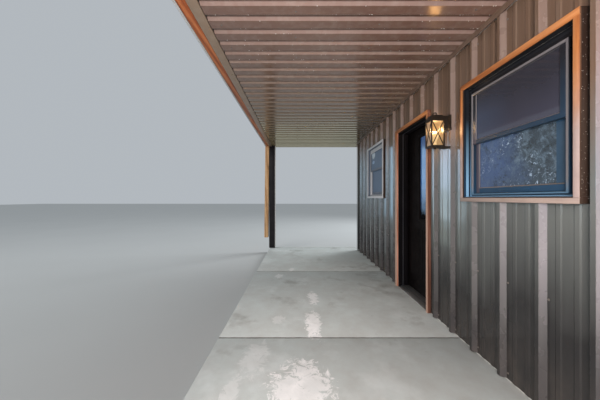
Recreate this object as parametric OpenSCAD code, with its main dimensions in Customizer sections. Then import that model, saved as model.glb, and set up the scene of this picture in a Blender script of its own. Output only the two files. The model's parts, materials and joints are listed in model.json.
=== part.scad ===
// Small ribbed-metal cabin with a full-length covered porch.
// Millimetres. Z = 0 is the ground, +Z up, porch side faces -Y,
// origin at the middle of the footprint.

/* [Cabin body] */
// Outside length of the cabin along X, over the flat of the cladding
cabin_l = 6096; // [5600:1:6400]
// Outside depth of the cabin along Y, over the flat of the cladding
cabin_d = 2438; // [2200:1:2600]
// Y of the front cladding flat
front_y = -224; // [-260:1:-200]
// Thickness of the framed wall behind the cladding
wall_t = 149; // [100:1:160]
// Height from the slab top to the lowest face of the soffit
soffit_h = 2446; // [2400:1:2500]

/* [Slabs] */
// Height of the concrete slabs above the ground
slab_t = 120; // [80:1:160]
// Distance from the cladding flat to the front edge of the porch slab
porch_d = 2062; // [2000:1:2080]
// Half length of the porch slab and of the roof frame
porch_half = 3515; // [3480:1:3515]
// Spacing of the sawn joints in the porch slab
joint_pitch = 2135; // [1800:1:2300]
// X of the sawn joint nearest the door
joint_x = 915; // [800:1:1000]

/* [Ribbed sheet] */
// Spacing of the large ribs on walls and roof
rib_pitch = 298.5; // [290:0.1:310]
// Height of the large ribs
rib_h = 32; // [25:1:36]
// Width of a large rib at its base
rib_base = 65; // [60:1:75]
// Width of a large rib at its top
rib_top = 26; // [20:1:32]
// Height of the small stiffening ribs
minor_h = 4; // [2:0.5:6]
// Width of a small rib at its base
minor_base = 40; // [34:1:44]
// Width of a small rib at its top
minor_top = 24; // [16:1:28]
// Thickness of the folded sheet
sheet_t = 3; // [2:0.5:4]
// X of one rib centre on the front wall
front_rib_x = 1720; // [1700:0.1:1760]

/* [Soffit] */
// Spacing of the soffit grooves
soffit_pitch = 152.4; // [150:0.1:155]
// Depth of the soffit grooves
soffit_rib = 19; // [12:1:24]
// Width of a groove at its top
groove_top = 16; // [10:1:34]
// Width of the slope on each side of a groove
groove_slope = 25; // [12:1:28]
// X of one groove centre
groove_x = 1367; // [1340:0.1:1420]
// Distance from the cladding flat to the front edge of the soffit
soffit_d = 2014; // [2000:1:2040]

/* [Porch edge] */
// Width of the flat trim band along the front of the soffit
band_w = 73; // [40:1:84]
// Open joint between the soffit and that band
band_gap = 7; // [3:0.5:9]
// Width of the timber beam along the porch edge
cedar_w = 62; // [50:1:62]
// Depth of the timber beam along the porch edge
cedar_h = 140; // [136:1:145]
// Side of the square porch posts
post_w = 140; // [120:1:142]
// Distance from the cladding flat to the outer face of the posts
post_out = 2084; // [2070:1:2086]
// X of the post centres
post_x = 3430; // [3400:1:3440]
// Width of the timber board on the outside of each post
post_board_w = 92; // [70:1:92]
// How far the lower end of that board leans out
post_board_lean = 24; // [0:1:32]
// Height of the lower end of that board above the slab
post_board_z = 250; // [100:1:400]

/* [Roof] */
// Rise of the roof for each millimetre of run
roof_rise = 0.25; // [0.2:0.01:0.3]
// Half width of the roof over the sheet, ridge to eave
roof_half = 2440; // [2424:1:2460]
// Half length of the roof sheets
roof_l2 = 3515; // [3500:1:3516]
// Number of trusses
truss_n = 12; // [8:1:14]

/* [Windows] */
// Width over the window trim
win_w = 962; // [900:1:980]
// Height over the window trim
win_h = 935; // [900:1:960]
// Height of the lower edge of the window trim above the slab
win_z = 1170; // [1100:1:1200]
// Face width of the window trim boards
trim_w = 36; // [32:1:42]
// Projection of the trim boards from the cladding flat
trim_d = 51; // [45:1:56]
// Thickness of the timber facing of the dark windows
facing_t = 9; // [6:1:20]
// Width of the upright facing boards
facing_side = 33; // [28:1:42]
// Width of the lower facing board
facing_bot = 29; // [26:1:42]
// Width of the upper facing board
facing_top = 38; // [30:1:42]
// X of the middle of the window on the right of the door
win_right_x = 1497; // [1450:1:1550]
// X of the middle of the window on the left of the door
win_left_x = -1550; // [-1600:1:-1500]
// Extra height of the window on the left of the door
win_left_up = 24; // [0:1:40]
// Extra height of the meeting rail of that window
left_rail_up = 47; // [0:1:60]

/* [Door] */
// X of the middle of the door
door_x = -51; // [-90:1:60]
// Width over the door trim
door_w = 930; // [900:1:1020]
// Height of the top of the door trim above the slab
door_h = 2118; // [2090:1:2130]
// Face width of the door trim boards
door_trim_w = 38; // [34:1:42]
// Face width of the door trim board on the left
door_trim_left = 72; // [38:1:90]
// Projection of the door trim from the cladding flat
door_trim_d = 38; // [30:1:51]
// Thickness of the door jamb boards
jamb_t = 20; // [16:1:24]
// Thickness of the door leaf
leaf_t = 44; // [38:1:46]
// Gap around the door leaf
leaf_gap = 6; // [5:0.5:8]
// Distance from the cladding flat to the outer face of the leaf
leaf_y = 106; // [100:1:106]
// Width of the glass strip in the leaf
lite_w = 240; // [200:1:300]
// X of the middle of the glass strip
lite_x = 12; // [-60:1:40]
// Height of the glass strip in the leaf
lite_h = 1010; // [800:1:1100]

/* [Lantern] */
// Side of the square lantern body
lan_w = 118; // [100:1:130]
// X of the lantern centre
lan_x = 800; // [760:1:840]
// Distance from the cladding flat to the lantern centre
lan_out = 152; // [130:1:170]
// Height of the lantern glass above the slab
lan_z = 1664; // [1600:1:1700]
// Height of the lantern glass
lan_h = 214; // [180:1:240]

/* [Hidden] */
$fn = 48;
soffit_z = slab_t + soffit_h;
wall_top = soffit_z + soffit_rib;
rear_y = front_y + cabin_d;
half_l = cabin_l / 2;
cedar_out = front_y - 2158;
roof_a = atan(roof_rise);
fascia_top = soffit_z + cedar_h;
roof_l = roof_half / cos(roof_a);
function roof_z(y) = fascia_top + roof_rise * (-cedar_out - abs(y));
win_bot = slab_t + win_z;
open_w = door_w - 2 * door_trim_w;
leaf_w = open_w - 2 * jamb_t - 2 * leaf_gap - 2;
leaf_x0 = door_x - open_w / 2 + jamb_t + leaf_gap;
leaf_z0 = slab_t + 32;
leaf_z1 = slab_t + door_h - door_trim_w - jamb_t - leaf_gap;
leaf_h = leaf_z1 - leaf_z0;
hinge_y = front_y + leaf_y + leaf_t + 12;

// One ribbed outline between x0 and x1: large ribs at c + k * pitch,
// two small ribs between them, as points [x, height]
function rib_pts(x0, x1, c) = concat([[x0, 0]],
    [for (i = [floor((x0 - c) / rib_pitch) - 1 : ceil((x1 - c) / rib_pitch) + 1])
        for (j = [0 : 2])
            let (m = c + i * rib_pitch + j * rib_pitch / 3,
                 b = (j == 0 ? rib_base : minor_base) / 2,
                 t = (j == 0 ? rib_top : minor_top) / 2,
                 h = (j == 0 ? rib_h : minor_h))
            if (m - b > x0 + 1 && m + b < x1 - 1)
                each [[m - b, 0], [m - t, h], [m + t, h], [m + b, 0]]],
    [[x1, 0]]);

// Folded sheet: an outline and the same outline one sheet thickness lower
module folded(pts, len) {
    linear_extrude(len)
        polygon(concat(pts, [for (i = [len(pts) - 1 : -1 : 0]) [pts[i][0], pts[i][1] - sheet_t]]));
}

// Upright ribbed sheet standing on z0, ribs towards -Y, flat face at y = 0
module wall_sheet(x0, x1, z0, z1, c) {
    translate([0, 0, z0]) mirror([0, 1, 0]) folded(rib_pts(x0, x1, c), z1 - z0);
}

// Soffit outline between x0 and x1, flats lowest
function soffit_pts(x0, x1) = concat([[x0, 0]],
    [for (i = [floor((x0 - groove_x) / soffit_pitch) - 1 : ceil((x1 - groove_x) / soffit_pitch) + 1])
        let (m = groove_x + i * soffit_pitch, t = groove_top / 2, b = t + groove_slope)
        if (m - b > x0 + 1 && m + b < x1 - 1)
            each [[m - b, 0], [m - t, soffit_rib - sheet_t], [m + t, soffit_rib - sheet_t], [m + b, 0]]],
    [[x1, 0]]);

// Level soffit sheet from y0 to y1, grooves running along Y
module soffit_sheet(x0, x1, y0, y1) {
    pts = soffit_pts(x0, x1);
    translate([0, y1, soffit_z]) rotate([90, 0, 0])
        linear_extrude(y1 - y0)
            polygon(concat(pts, [for (i = [len(pts) - 1 : -1 : 0]) [pts[i][0], pts[i][1] + sheet_t]]));
}

// Square frame of four boards, outer w by h, face width f, from y0 to y1
module ring(w, h, fl, fb, ft, y0, y1) {
    difference() {
        translate([-w / 2, y0, 0]) cube([w, y1 - y0, h]);
        translate([-w / 2 + fl, y0 - 1, fb]) cube([w - 2 * fl, y1 - y0 + 2, h - fb - ft]);
    }
}

// The four windows: [x, turned to the rear]
module at_right() { translate([win_right_x, front_y, win_bot]) children(); }
module at_left() { translate([win_left_x, front_y, win_bot + win_left_up]) children(); }
module at_rear() {
    for (x = [win_left_x, win_right_x])
        translate([x, rear_y, win_bot]) rotate([0, 0, 180]) children();
}

module win_trim() { ring(win_w, win_h, trim_w, trim_w, trim_w, -trim_d, 3); }
module win_facing() { ring(win_w, win_h, facing_side, facing_bot, facing_top, -trim_d, facing_t - trim_d); }
module win_box() { ring(win_w, win_h, trim_w, trim_w, trim_w, facing_t - trim_d, 3); }
module win_frame() {
    iw = win_w - 2 * trim_w - 2;
    ih = win_h - 2 * trim_w - 2;
    translate([0, 0, trim_w + 1]) {
        ring(iw, ih, 50, 14, 56, 2, 70);
        translate([0, 0, 14]) ring(iw - 100, ih - 70, 20, 12, 16, -16, 60);
    }
}
module win_sashes(up = 0) {
    iw = win_w - 2 * trim_w - 2 - 142;
    z0 = trim_w + 28;
    ih = win_h - trim_w - 74 - z0;
    mid = slab_t + 1631 + up - win_bot - z0;
    // upper sash: side stiles and meeting rail
    translate([0, 0, z0]) difference() {
        translate([-iw / 2, -14, mid - 17]) cube([iw, 24, ih - mid + 16]);
        translate([-iw / 2 + 36, -15, mid + 17]) cube([iw - 72, 26, ih - mid]);
    }
    // lower sash: stiles, bottom rail and its own meeting rail
    translate([0, 0, z0 + 1]) difference() {
        translate([-iw / 2, 12, 0]) cube([iw, 26, mid + 15]);
        translate([-iw / 2 + 36, 11, 44]) cube([iw - 72, 28, mid - 60]);
    }
}
module win_glass(up = 0) {
    iw = win_w - 2 * trim_w - 2 - 142;
    z0 = trim_w + 28;
    ih = win_h - trim_w - 74 - z0;
    mid = slab_t + 1631 + up - win_bot - z0;
    translate([-iw / 2 + 36, -6, z0 + mid + 17]) cube([iw - 72, 6, ih - mid - 18]);
    translate([-iw / 2 + 36, 20, z0 + 45]) cube([iw - 72, 6, mid - 60]);
}

// Room for a window in the cladding and in the wall
module win_cut_sheet() { translate([-win_w / 2, -60, 0]) cube([win_w, 70, win_h]); }
module win_cut_wall() {
    translate([-win_w / 2 + trim_w, -10, trim_w]) cube([win_w - 2 * trim_w, wall_t + 40, win_h - 2 * trim_w]);
}
module door_cut() {
    translate([door_x - open_w / 2, front_y - 60, slab_t - 1])
        cube([open_w, wall_t + 120, door_h - door_trim_w + 1]);
}

// Concrete porch floor with sawn joints
module porch_slab() {
    color("#b4b2ad") difference() {
        translate([-porch_half, front_y - porch_d, 0]) cube([2 * porch_half, porch_d + 2, slab_t]);
        for (k = [-2 : 1]) translate([joint_x + k * joint_pitch - 3, front_y - porch_d - 1, slab_t - 14])
            cube([6, porch_d + 4, 20]);
    }
}

// Concrete floor of the cabin
module cabin_slab() {
    color("#a8a6a1") translate([-half_l + 3, front_y + 3, 0]) cube([cabin_l - 6, cabin_d - 6, slab_t]);
}

// Plank floor inside the walls
module floor_finish() {
    color("#8d7b64")
        translate([-half_l + 3 + wall_t, front_y + 3 + wall_t, slab_t])
            cube([cabin_l - 6 - 2 * wall_t, cabin_d - 6 - 2 * wall_t, 12]);
}

module front_wall_right() {
    color("#c9c3b6") difference() {
        translate([door_x + open_w / 2, front_y + 3, slab_t])
            cube([half_l - 3 - door_x - open_w / 2, wall_t, wall_top - slab_t]);
        at_right() win_cut_wall();
    }
}
module front_wall_left() {
    color("#c9c3b6") difference() {
        translate([-half_l + 3, front_y + 3, slab_t])
            cube([half_l - 3 + door_x - open_w / 2, wall_t, wall_top - slab_t]);
        at_left() win_cut_wall();
    }
}
module front_wall_over_door() {
    color("#c9c3b6")
        translate([door_x - open_w / 2, front_y + 3, slab_t + door_h - door_trim_w])
            cube([open_w, wall_t, wall_top - slab_t - door_h + door_trim_w]);
}
module rear_wall() {
    color("#c9c3b6") difference() {
        translate([-half_l + 3, rear_y - 3 - wall_t, slab_t]) cube([cabin_l - 6, wall_t, wall_top - slab_t]);
        at_rear() win_cut_wall();
    }
}
module end_wall() {
    translate([half_l - 3 - wall_t, front_y + 3 + wall_t, slab_t])
        cube([wall_t, cabin_d - 6 - 2 * wall_t, wall_top - slab_t]);
}
module left_end_wall() { color("#c9c3b6") mirror([1, 0, 0]) end_wall(); }
module right_end_wall() { color("#c9c3b6") end_wall(); }

// Flat ceiling inside the walls
module ceiling() {
    color("#d8d4ca")
        translate([-half_l + 3 + wall_t, front_y + 3 + wall_t, wall_top - 12])
            cube([cabin_l - 6 - 2 * wall_t, cabin_d - 6 - 2 * wall_t, 12]);
}

module front_cladding() {
    color("#6f665c") difference() {
        translate([0, front_y, 0])
            wall_sheet(-half_l, half_l, slab_t + 8, soffit_z - 4, front_rib_x);
        at_right() win_cut_sheet();
        at_left() win_cut_sheet();
        translate([door_x - open_w / 2 - door_trim_left, front_y - 60, 0])
            cube([open_w + door_trim_left + door_trim_w, 80, slab_t + door_h]);
    }
}
module rear_cladding() {
    color("#6f665c") difference() {
        translate([0, rear_y, 0]) rotate([0, 0, 180])
            wall_sheet(-half_l, half_l, slab_t - 30, soffit_z - 4, -front_rib_x);
        at_rear() win_cut_sheet();
    }
}
module end_cladding() {
    translate([half_l, (front_y + rear_y) / 2, 0]) rotate([0, 0, 90])
        wall_sheet(-cabin_d / 2 + 3, cabin_d / 2 - 3, slab_t - 30, soffit_z - 4, rib_pitch / 2);
}
module left_end_cladding() { color("#6f665c") mirror([1, 0, 0]) end_cladding(); }
module right_end_cladding() { color("#6f665c") end_cladding(); }

// Folded angles over the four upright corners
module corner_trims() {
    color("#7d7164") for (sx = [-1, 1], e = [0, 1])
        translate([sx * half_l, e == 0 ? front_y : rear_y, e == 0 ? slab_t + 8 : slab_t - 30])
            scale_sign(sx, e == 0 ? 1 : -1)
                linear_extrude(soffit_z - 4 - (e == 0 ? slab_t + 8 : slab_t - 30))
                    polygon([[-90, -rib_h - 3], [rib_h + 3, -rib_h - 3], [rib_h + 3, 90],
                             [rib_h, 90], [rib_h, -rib_h], [-90, -rib_h]]);
}
module scale_sign(sx, sy) {
    if (sx < 0 && sy < 0) mirror([1, 0, 0]) mirror([0, 1, 0]) children();
    else if (sx < 0) mirror([1, 0, 0]) children();
    else if (sy < 0) mirror([0, 1, 0]) children();
    else children();
}

// Angle that covers the top ends of the front cladding
module wall_head_trim() {
    color("#6f665c") translate([-half_l - 35, 0, 0]) rotate([90, 0, 90])
        linear_extrude(cabin_l + 70)
            polygon([[front_y - rib_h - 4, soffit_z], [front_y - rib_h - 24, soffit_z],
                     [front_y - rib_h - 24, soffit_z - 3], [front_y - rib_h - 7, soffit_z - 3],
                     [front_y - rib_h - 7, soffit_z - 26], [front_y - rib_h - 4, soffit_z - 26]]);
}

module post_cut(extra) {
    for (s = [-1, 1])
        translate([s * post_x - post_w / 2 - extra, front_y - post_out - extra, soffit_z - 40])
            cube([post_w + 2 * extra, post_w + 2 * extra, 100]);
}
module porch_soffit() {
    color("#6a5f56") difference() {
        soffit_sheet(-porch_half + 50, porch_half - 50, front_y - soffit_d, front_y - 1);
        post_cut(1);
    }
}
module cabin_soffits() {
    color("#6a5f56") {
        for (s = [0, 1]) mirror([s, 0, 0])
            soffit_sheet(-porch_half + 50, -half_l - 4, front_y + 1, rear_y + 128);
        soffit_sheet(-half_l, half_l, rear_y + 4, rear_y + 128);
    }
}

// Flat trim band along the soffit's outer edges
module soffit_trim() {
    color("#74695c") difference() {
        union() {
            translate([-porch_half + 4, front_y - soffit_d - band_gap - band_w, soffit_z])
                cube([2 * porch_half - 8, band_w, soffit_rib]);
            for (s = [-1, 1])
                translate([s > 0 ? porch_half - 46 : -porch_half + 4, front_y - soffit_d - band_gap, soffit_z])
                    cube([42, soffit_d + band_gap + cabin_d + 128, soffit_rib]);
        }
        post_cut(1);
    }
}

// Steel beam over the posts, inside the porch edge
module porch_beam() {
    color("#3a3733") translate([-porch_half + 50, front_y - 2077, wall_top])
        cube([2 * porch_half - 100, 100, 136]);
}

// Timber beam along the outer edge of the porch roof
module porch_edge_timber() {
    color("#b4683a") translate([-porch_half + 4, cedar_out, soffit_z])
        cube([2 * porch_half - 8, cedar_w, cedar_h]);
}
module rear_fascia() {
    color("#b4683a") translate([-porch_half + 4, -cedar_out - 38, soffit_z])
        cube([2 * porch_half - 8, 38, cedar_h]);
}

module porch_posts() {
    color("#232122") for (s = [-1, 1])
        translate([s * post_x - post_w / 2, front_y - post_out, slab_t])
            cube([post_w, post_w, wall_top - slab_t]);
}
module post_boards() {
    color("#c07c4a") for (s = [-1, 1])
        translate([s * post_x - post_w / 2, front_y - post_out, 0]) rotate([90, 0, 90]) linear_extrude(post_w)
            polygon([[0, soffit_z], [-post_board_w, soffit_z],
                     [-post_board_w - post_board_lean, slab_t + post_board_z], [-post_board_lean, slab_t + post_board_z]]);
}

// Thin pale strip on the porch side of each post
module post_edge_strips() {
    color("#c4c6c5") for (s = [0, 1]) mirror([s, 0, 0])
        translate([post_x - post_w / 2, front_y - post_out + post_w, slab_t + 20])
            cube([14, 18, soffit_h - 26]);
}

// Timber trusses with level lower chords
module roof_trusses() {
    y0 = front_y - 1975;
    y1 = -cedar_out - 39;
    color("#c8a877") for (i = [0 : truss_n - 1])
        translate([-porch_half + 90 + i * (2 * porch_half - 218) / (truss_n - 1), 0, 0])
            rotate([90, 0, 90]) linear_extrude(38) difference() {
                polygon([[y0, wall_top], [y1, wall_top], [y1, roof_z(y1)], [0, roof_z(0)], [y0, roof_z(y0)]]);
                for (s = [0, 1]) mirror([s, 0])
                    polygon([[45, wall_top + 89], [45, roof_z(0) - 110], [1560, roof_z(1560) - 92], [1560, wall_top + 89]]);
            }
}

// Ribbed roof sheets on the two slopes
module roof_slope() {
    translate([0, -roof_half, roof_z(roof_half)]) rotate([roof_a, 0, 0])
        translate([0, roof_l + 20, sheet_t]) rotate([90, 0, 0])
            folded(rib_pts(-roof_l2, roof_l2, 0), roof_l + 40);
}
module roof_sheet_front() {
    color("#b9bcbb") intersection() {
        roof_slope();
        translate([-roof_l2 - 10, -roof_half, 0]) cube([2 * roof_l2 + 20, roof_half - 1, 5000]);
    }
}
module roof_sheet_rear() { color("#b9bcbb") mirror([0, 1, 0]) intersection() {
        roof_slope();
        translate([-roof_l2 - 10, -roof_half, 0]) cube([2 * roof_l2 + 20, roof_half - 1, 5000]);
    } }
module ridge_cap() {
    zt = roof_z(0) + (rib_h + sheet_t + 1) / cos(roof_a);
    color("#b9bcbb") translate([-roof_l2, 0, 0]) rotate([90, 0, 90]) linear_extrude(2 * roof_l2)
        polygon([[-150, zt - 150 * roof_rise], [0, zt], [150, zt - 150 * roof_rise],
                 [150, zt + 3 - 150 * roof_rise], [0, zt + 3], [-150, zt + 3 - 150 * roof_rise]]);
}

// Ribbed triangles that close the two roof ends
module gable_cladding() {
    color("#6f665c") for (s = [0, 1]) mirror([s, 0, 0]) intersection() {
        translate([porch_half - 45, 0, 0]) rotate([0, 0, 90])
            wall_sheet(cedar_out + 100, -cedar_out - 40, wall_top + 1, roof_z(0) + 10, 0);
        translate([porch_half - 60, 0, 0]) rotate([90, 0, 90]) linear_extrude(60)
            polygon([[cedar_out, wall_top], [-cedar_out, wall_top], [-cedar_out, roof_z(cedar_out) - 2],
                     [0, roof_z(0) - 2], [cedar_out, roof_z(cedar_out) - 2]]);
    }
}

// Pale folded trim along the eaves and up the gable edges
module roof_edge_trim() {
    zr = (rib_h + sheet_t + 1) / cos(roof_a);
    color("#c4c6c5") {
        for (s = [0, 1]) mirror([0, s, 0])
            translate([-roof_l2, -roof_half - 2, 0]) cube_at(2 * roof_l2, 2, roof_z(roof_half) - 22, roof_z(roof_half) + 38);
        for (s = [0, 1], t = [0, 1]) mirror([s, 0, 0]) mirror([0, t, 0])
            translate([roof_l2 + 0.5, 0, 0]) rotate([90, 0, 90]) linear_extrude(2.5)
                polygon([[-roof_half, roof_z(roof_half) - 90], [-roof_half, roof_z(roof_half) + zr],
                         [-0.5, roof_z(0) + zr], [-0.5, roof_z(0) - 90]]);
        // folded fascia over the outer face of the timber, with a lip below
        for (s = [0, 1]) mirror([0, s, 0])
            translate([-porch_half + 4, cedar_out, 0]) rotate([90, 0, 90]) linear_extrude(2 * porch_half - 8)
                polygon([[-20, soffit_z], [-2, soffit_z], [-2, soffit_z + 3], [-18, soffit_z + 3],
                         [-18, fascia_top - 6], [-20, fascia_top - 6]]);
    }
}
module cube_at(l, t, z0, z1) { translate([0, 0, z0]) cube([l, t, z1 - z0]); }

// Black door lining with a stop on the weather side
module door_frame() {
    h = door_h - door_trim_w;
    color("#1c1b1d") translate([door_x, front_y, slab_t]) {
        difference() {
            translate([-open_w / 2, -19, 0]) cube([open_w, wall_t + 22, h]);
            translate([-open_w / 2 + jamb_t, -20, -1]) cube([open_w - 2 * jamb_t, wall_t + 50, h - jamb_t + 1]);
        }
        difference() {
            translate([-open_w / 2 + jamb_t - 1, leaf_y - 30, 24]) cube([open_w - 2 * jamb_t + 2, 24, h - jamb_t - 23]);
            translate([-open_w / 2 + jamb_t + 12, leaf_y - 31, -1]) cube([open_w - 2 * jamb_t - 24, 30, h - jamb_t - 12 + 1]);
        }
    }
}
module door_trim() {
    color("#b4683a") translate([door_x, front_y, slab_t]) difference() {
        translate([-open_w / 2 - door_trim_left, -door_trim_d, 0])
            cube([open_w + door_trim_left + door_trim_w, door_trim_d + 3, door_h]);
        translate([-open_w / 2, -door_trim_d - 1, -1]) cube([open_w, door_trim_d + 5, door_h - door_trim_w + 1]);
    }
}
module door_threshold() {
    color("#8f9092") translate([door_x - open_w / 2 + jamb_t + 0.5, front_y - 20, slab_t]) rotate([90, 0, 90])
        linear_extrude(open_w - 2 * jamb_t - 1)
            polygon([[0, 0], [wall_t + 23, 0], [wall_t + 23, 14], [wall_t + 10, 22], [60, 22], [0, 5]]);
}

// Door leaf with a narrow upright glass strip
lite_z = slab_t + 935;
module door_leaf() {
    color("#18181b") difference() {
        translate([leaf_x0, front_y + leaf_y, leaf_z0]) cube([leaf_w, leaf_t, leaf_h]);
        translate([lite_x - lite_w / 2, front_y + leaf_y - 1, lite_z]) cube([lite_w, leaf_t + 2, lite_h]);
        // two shallow pressed panels below the glass
        for (dx = [-300, 20])
            translate([door_x + dx, front_y + leaf_y - 1, leaf_z0 + 190]) cube([280, 4, 590]);
    }
}
module door_glass() {
    color("#6f8796") translate([lite_x - lite_w / 2, front_y + leaf_y + 12, lite_z]) cube([lite_w, 18, lite_h]);
}
module door_handle() {
    x = leaf_x0 + leaf_w - 65;
    z = slab_t + 960;
    color("#2a2725") translate([x, front_y + leaf_y, z]) {
        for (s = [0, 1]) translate([0, s * leaf_t, 0]) mirror([0, s, 0]) {
            translate([0, 0, 0]) rotate([90, 0, 0]) cylinder(d = 62, h = 8);
            translate([0, -6, 0]) rotate([90, 0, 0]) cylinder(d = 22, h = 44);
            translate([-108, -56, -9]) cube([119, 12, 18]);
            translate([0, 0, 130]) rotate([90, 0, 0]) cylinder(d = 52, h = 10);
        }
    }
}
module door_hinges() {
    color("#55514c") for (z = [180, leaf_h / 2, leaf_h - 180])
        translate([leaf_x0 - leaf_gap / 2, hinge_y, leaf_z0 + z - 50]) {
            cylinder(d = 11, h = 100);
            translate([leaf_gap / 2, -12, 0]) cube([34, 2.2, 100]);
            translate([1, -11, 0]) cube([leaf_gap / 2 + 2, 9, 100]);
        }
}

module window_trim_wood() { color("#b4683a") { at_right() win_facing(); at_rear() win_facing(); } }
// Dark box section that carries the timber facing
module window_boxes() { color("#2b241e") { at_right() win_box(); at_rear() win_box(); } }
module window_trim_white() { color("#c9cacc") at_left() win_trim(); }
module window_frames_dark() { color("#23252b") { at_right() win_frame(); at_rear() win_frame(); } }
module window_frame_white() { color("#c9cacc") at_left() win_frame(); }
module window_sashes_dark() { color("#30363f") { at_right() win_sashes(); at_rear() win_sashes(); } }
module window_sashes_white() { color("#c2c4c6") at_left() win_sashes(left_rail_up); }
module window_glass() { color("#5b6670") { at_right() win_glass(); at_left() win_glass(left_rail_up); at_rear() win_glass(); } }

// Wall lantern: back plate, arm, cage with crossed bars, cap and foot
module lantern_frame() {
    b = 9;
    w = lan_w;
    color("#2b241e") translate([lan_x, front_y - lan_out, slab_t + lan_z]) {
        // bottom plate, stepped cap, ring on top, foot
        translate([-w / 2, -w / 2, -14]) cube([w, w, 14]);
        translate([-w / 2, -w / 2, lan_h]) cube([w, w, 18]);
        translate([-w / 2 + 4, -w / 2 + 4, lan_h + 17]) cube([w - 8, w - 8, 21]);
        translate([-w / 2 + 12, -w / 2 + 12, lan_h + 37]) cube([w - 24, w - 24, 17]);
        translate([0, 0, lan_h + 68]) rotate([0, 90, 0]) rotate_extrude() translate([17.5, 0]) circle(d = 9);
        translate([0, 0, -28]) cylinder(d = 22, h = 15);
        // corner posts
        for (x = [-1, 1], y = [-1, 1])
            translate([x * (w / 2 - b / 2) - b / 2, y * (w / 2 - b / 2) - b / 2, -1]) cube([b, b, lan_h + 2]);
        // crossed bars on each face
        for (r = [0 : 3]) rotate([0, 0, 90 * r]) translate([0, -w / 2 + 3.5, lan_h / 2])
            for (s = [-1, 1]) rotate([0, s * atan((w - 2 * b) / lan_h), 0])
                translate([-3.5, -2.5, -sqrt(pow(lan_h, 2) + pow(w - 2 * b, 2)) / 2]) cube([7, 5, sqrt(pow(lan_h, 2) + pow(w - 2 * b, 2))]);
        // bracket block, back plate and the flange under the body
        translate([-30, w / 2 - 1, lan_h - 68]) cube([60, 43, 120]);
        translate([-55, w / 2 + 41.5, lan_h - 80]) cube([110, lan_out - rib_h - w / 2 - 42, 134]);
        translate([-40, w / 2 - 8, -22]) cube([80, lan_out - rib_h - w / 2 + 7.5, 16]);
    }
}
module lantern_glass() {
    w = lan_w - 22;
    color("#e8dcc0") translate([lan_x, front_y - lan_out, slab_t + lan_z]) difference() {
        translate([-w / 2, -w / 2, 0]) cube([w, w, lan_h]);
        translate([-w / 2 + 2.5, -w / 2 + 2.5, -1]) cube([w - 5, w - 5, lan_h + 2]);
    }
}
module lantern_bulb() {
    color("#ffd58a") translate([lan_x, front_y - lan_out, slab_t + lan_z]) rotate_extrude()
        polygon([[0, 0], [14, 0], [14, 34], [16, 44], [27, 74], [30, 92], [27, 108], [17, 122], [0, 128]]);
}

porch_slab();
cabin_slab();
floor_finish();
front_wall_right();
front_wall_left();
front_wall_over_door();
rear_wall();
left_end_wall();
right_end_wall();
ceiling();
front_cladding();
rear_cladding();
left_end_cladding();
right_end_cladding();
corner_trims();
wall_head_trim();
porch_soffit();
cabin_soffits();
soffit_trim();
porch_beam();
porch_edge_timber();
rear_fascia();
porch_posts();
post_boards();
post_edge_strips();
roof_trusses();
roof_sheet_front();
roof_sheet_rear();
ridge_cap();
gable_cladding();
roof_edge_trim();
door_frame();
door_trim();
door_threshold();
door_leaf();
door_glass();
door_handle();
door_hinges();
window_trim_wood();
window_boxes();
window_trim_white();
window_frames_dark();
window_frame_white();
window_sashes_dark();
window_sashes_white();
window_glass();
lantern_frame();
lantern_glass();
lantern_bulb();
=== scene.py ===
import json
import math
import random

import bmesh
import bpy
from mathutils import Matrix, Vector

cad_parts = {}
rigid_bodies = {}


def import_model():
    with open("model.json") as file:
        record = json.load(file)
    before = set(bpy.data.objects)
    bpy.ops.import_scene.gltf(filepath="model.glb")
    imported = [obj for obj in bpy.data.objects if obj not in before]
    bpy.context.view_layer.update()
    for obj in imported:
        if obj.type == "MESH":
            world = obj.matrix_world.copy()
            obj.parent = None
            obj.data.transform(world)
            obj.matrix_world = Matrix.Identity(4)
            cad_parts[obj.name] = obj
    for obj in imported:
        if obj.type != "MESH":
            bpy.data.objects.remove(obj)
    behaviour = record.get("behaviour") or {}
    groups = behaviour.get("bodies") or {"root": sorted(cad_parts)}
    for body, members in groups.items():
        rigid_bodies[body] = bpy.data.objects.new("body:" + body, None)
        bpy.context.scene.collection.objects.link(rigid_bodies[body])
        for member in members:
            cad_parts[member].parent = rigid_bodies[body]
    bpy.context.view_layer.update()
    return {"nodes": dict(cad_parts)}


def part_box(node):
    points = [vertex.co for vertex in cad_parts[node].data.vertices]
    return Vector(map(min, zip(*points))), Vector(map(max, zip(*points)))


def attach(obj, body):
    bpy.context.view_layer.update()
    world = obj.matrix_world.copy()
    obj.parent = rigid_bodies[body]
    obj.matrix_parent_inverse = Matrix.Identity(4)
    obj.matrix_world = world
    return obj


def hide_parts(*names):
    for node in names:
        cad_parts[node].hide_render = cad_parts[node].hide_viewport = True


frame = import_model()
scene = bpy.context.scene
rnd = random.Random(7)

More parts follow.
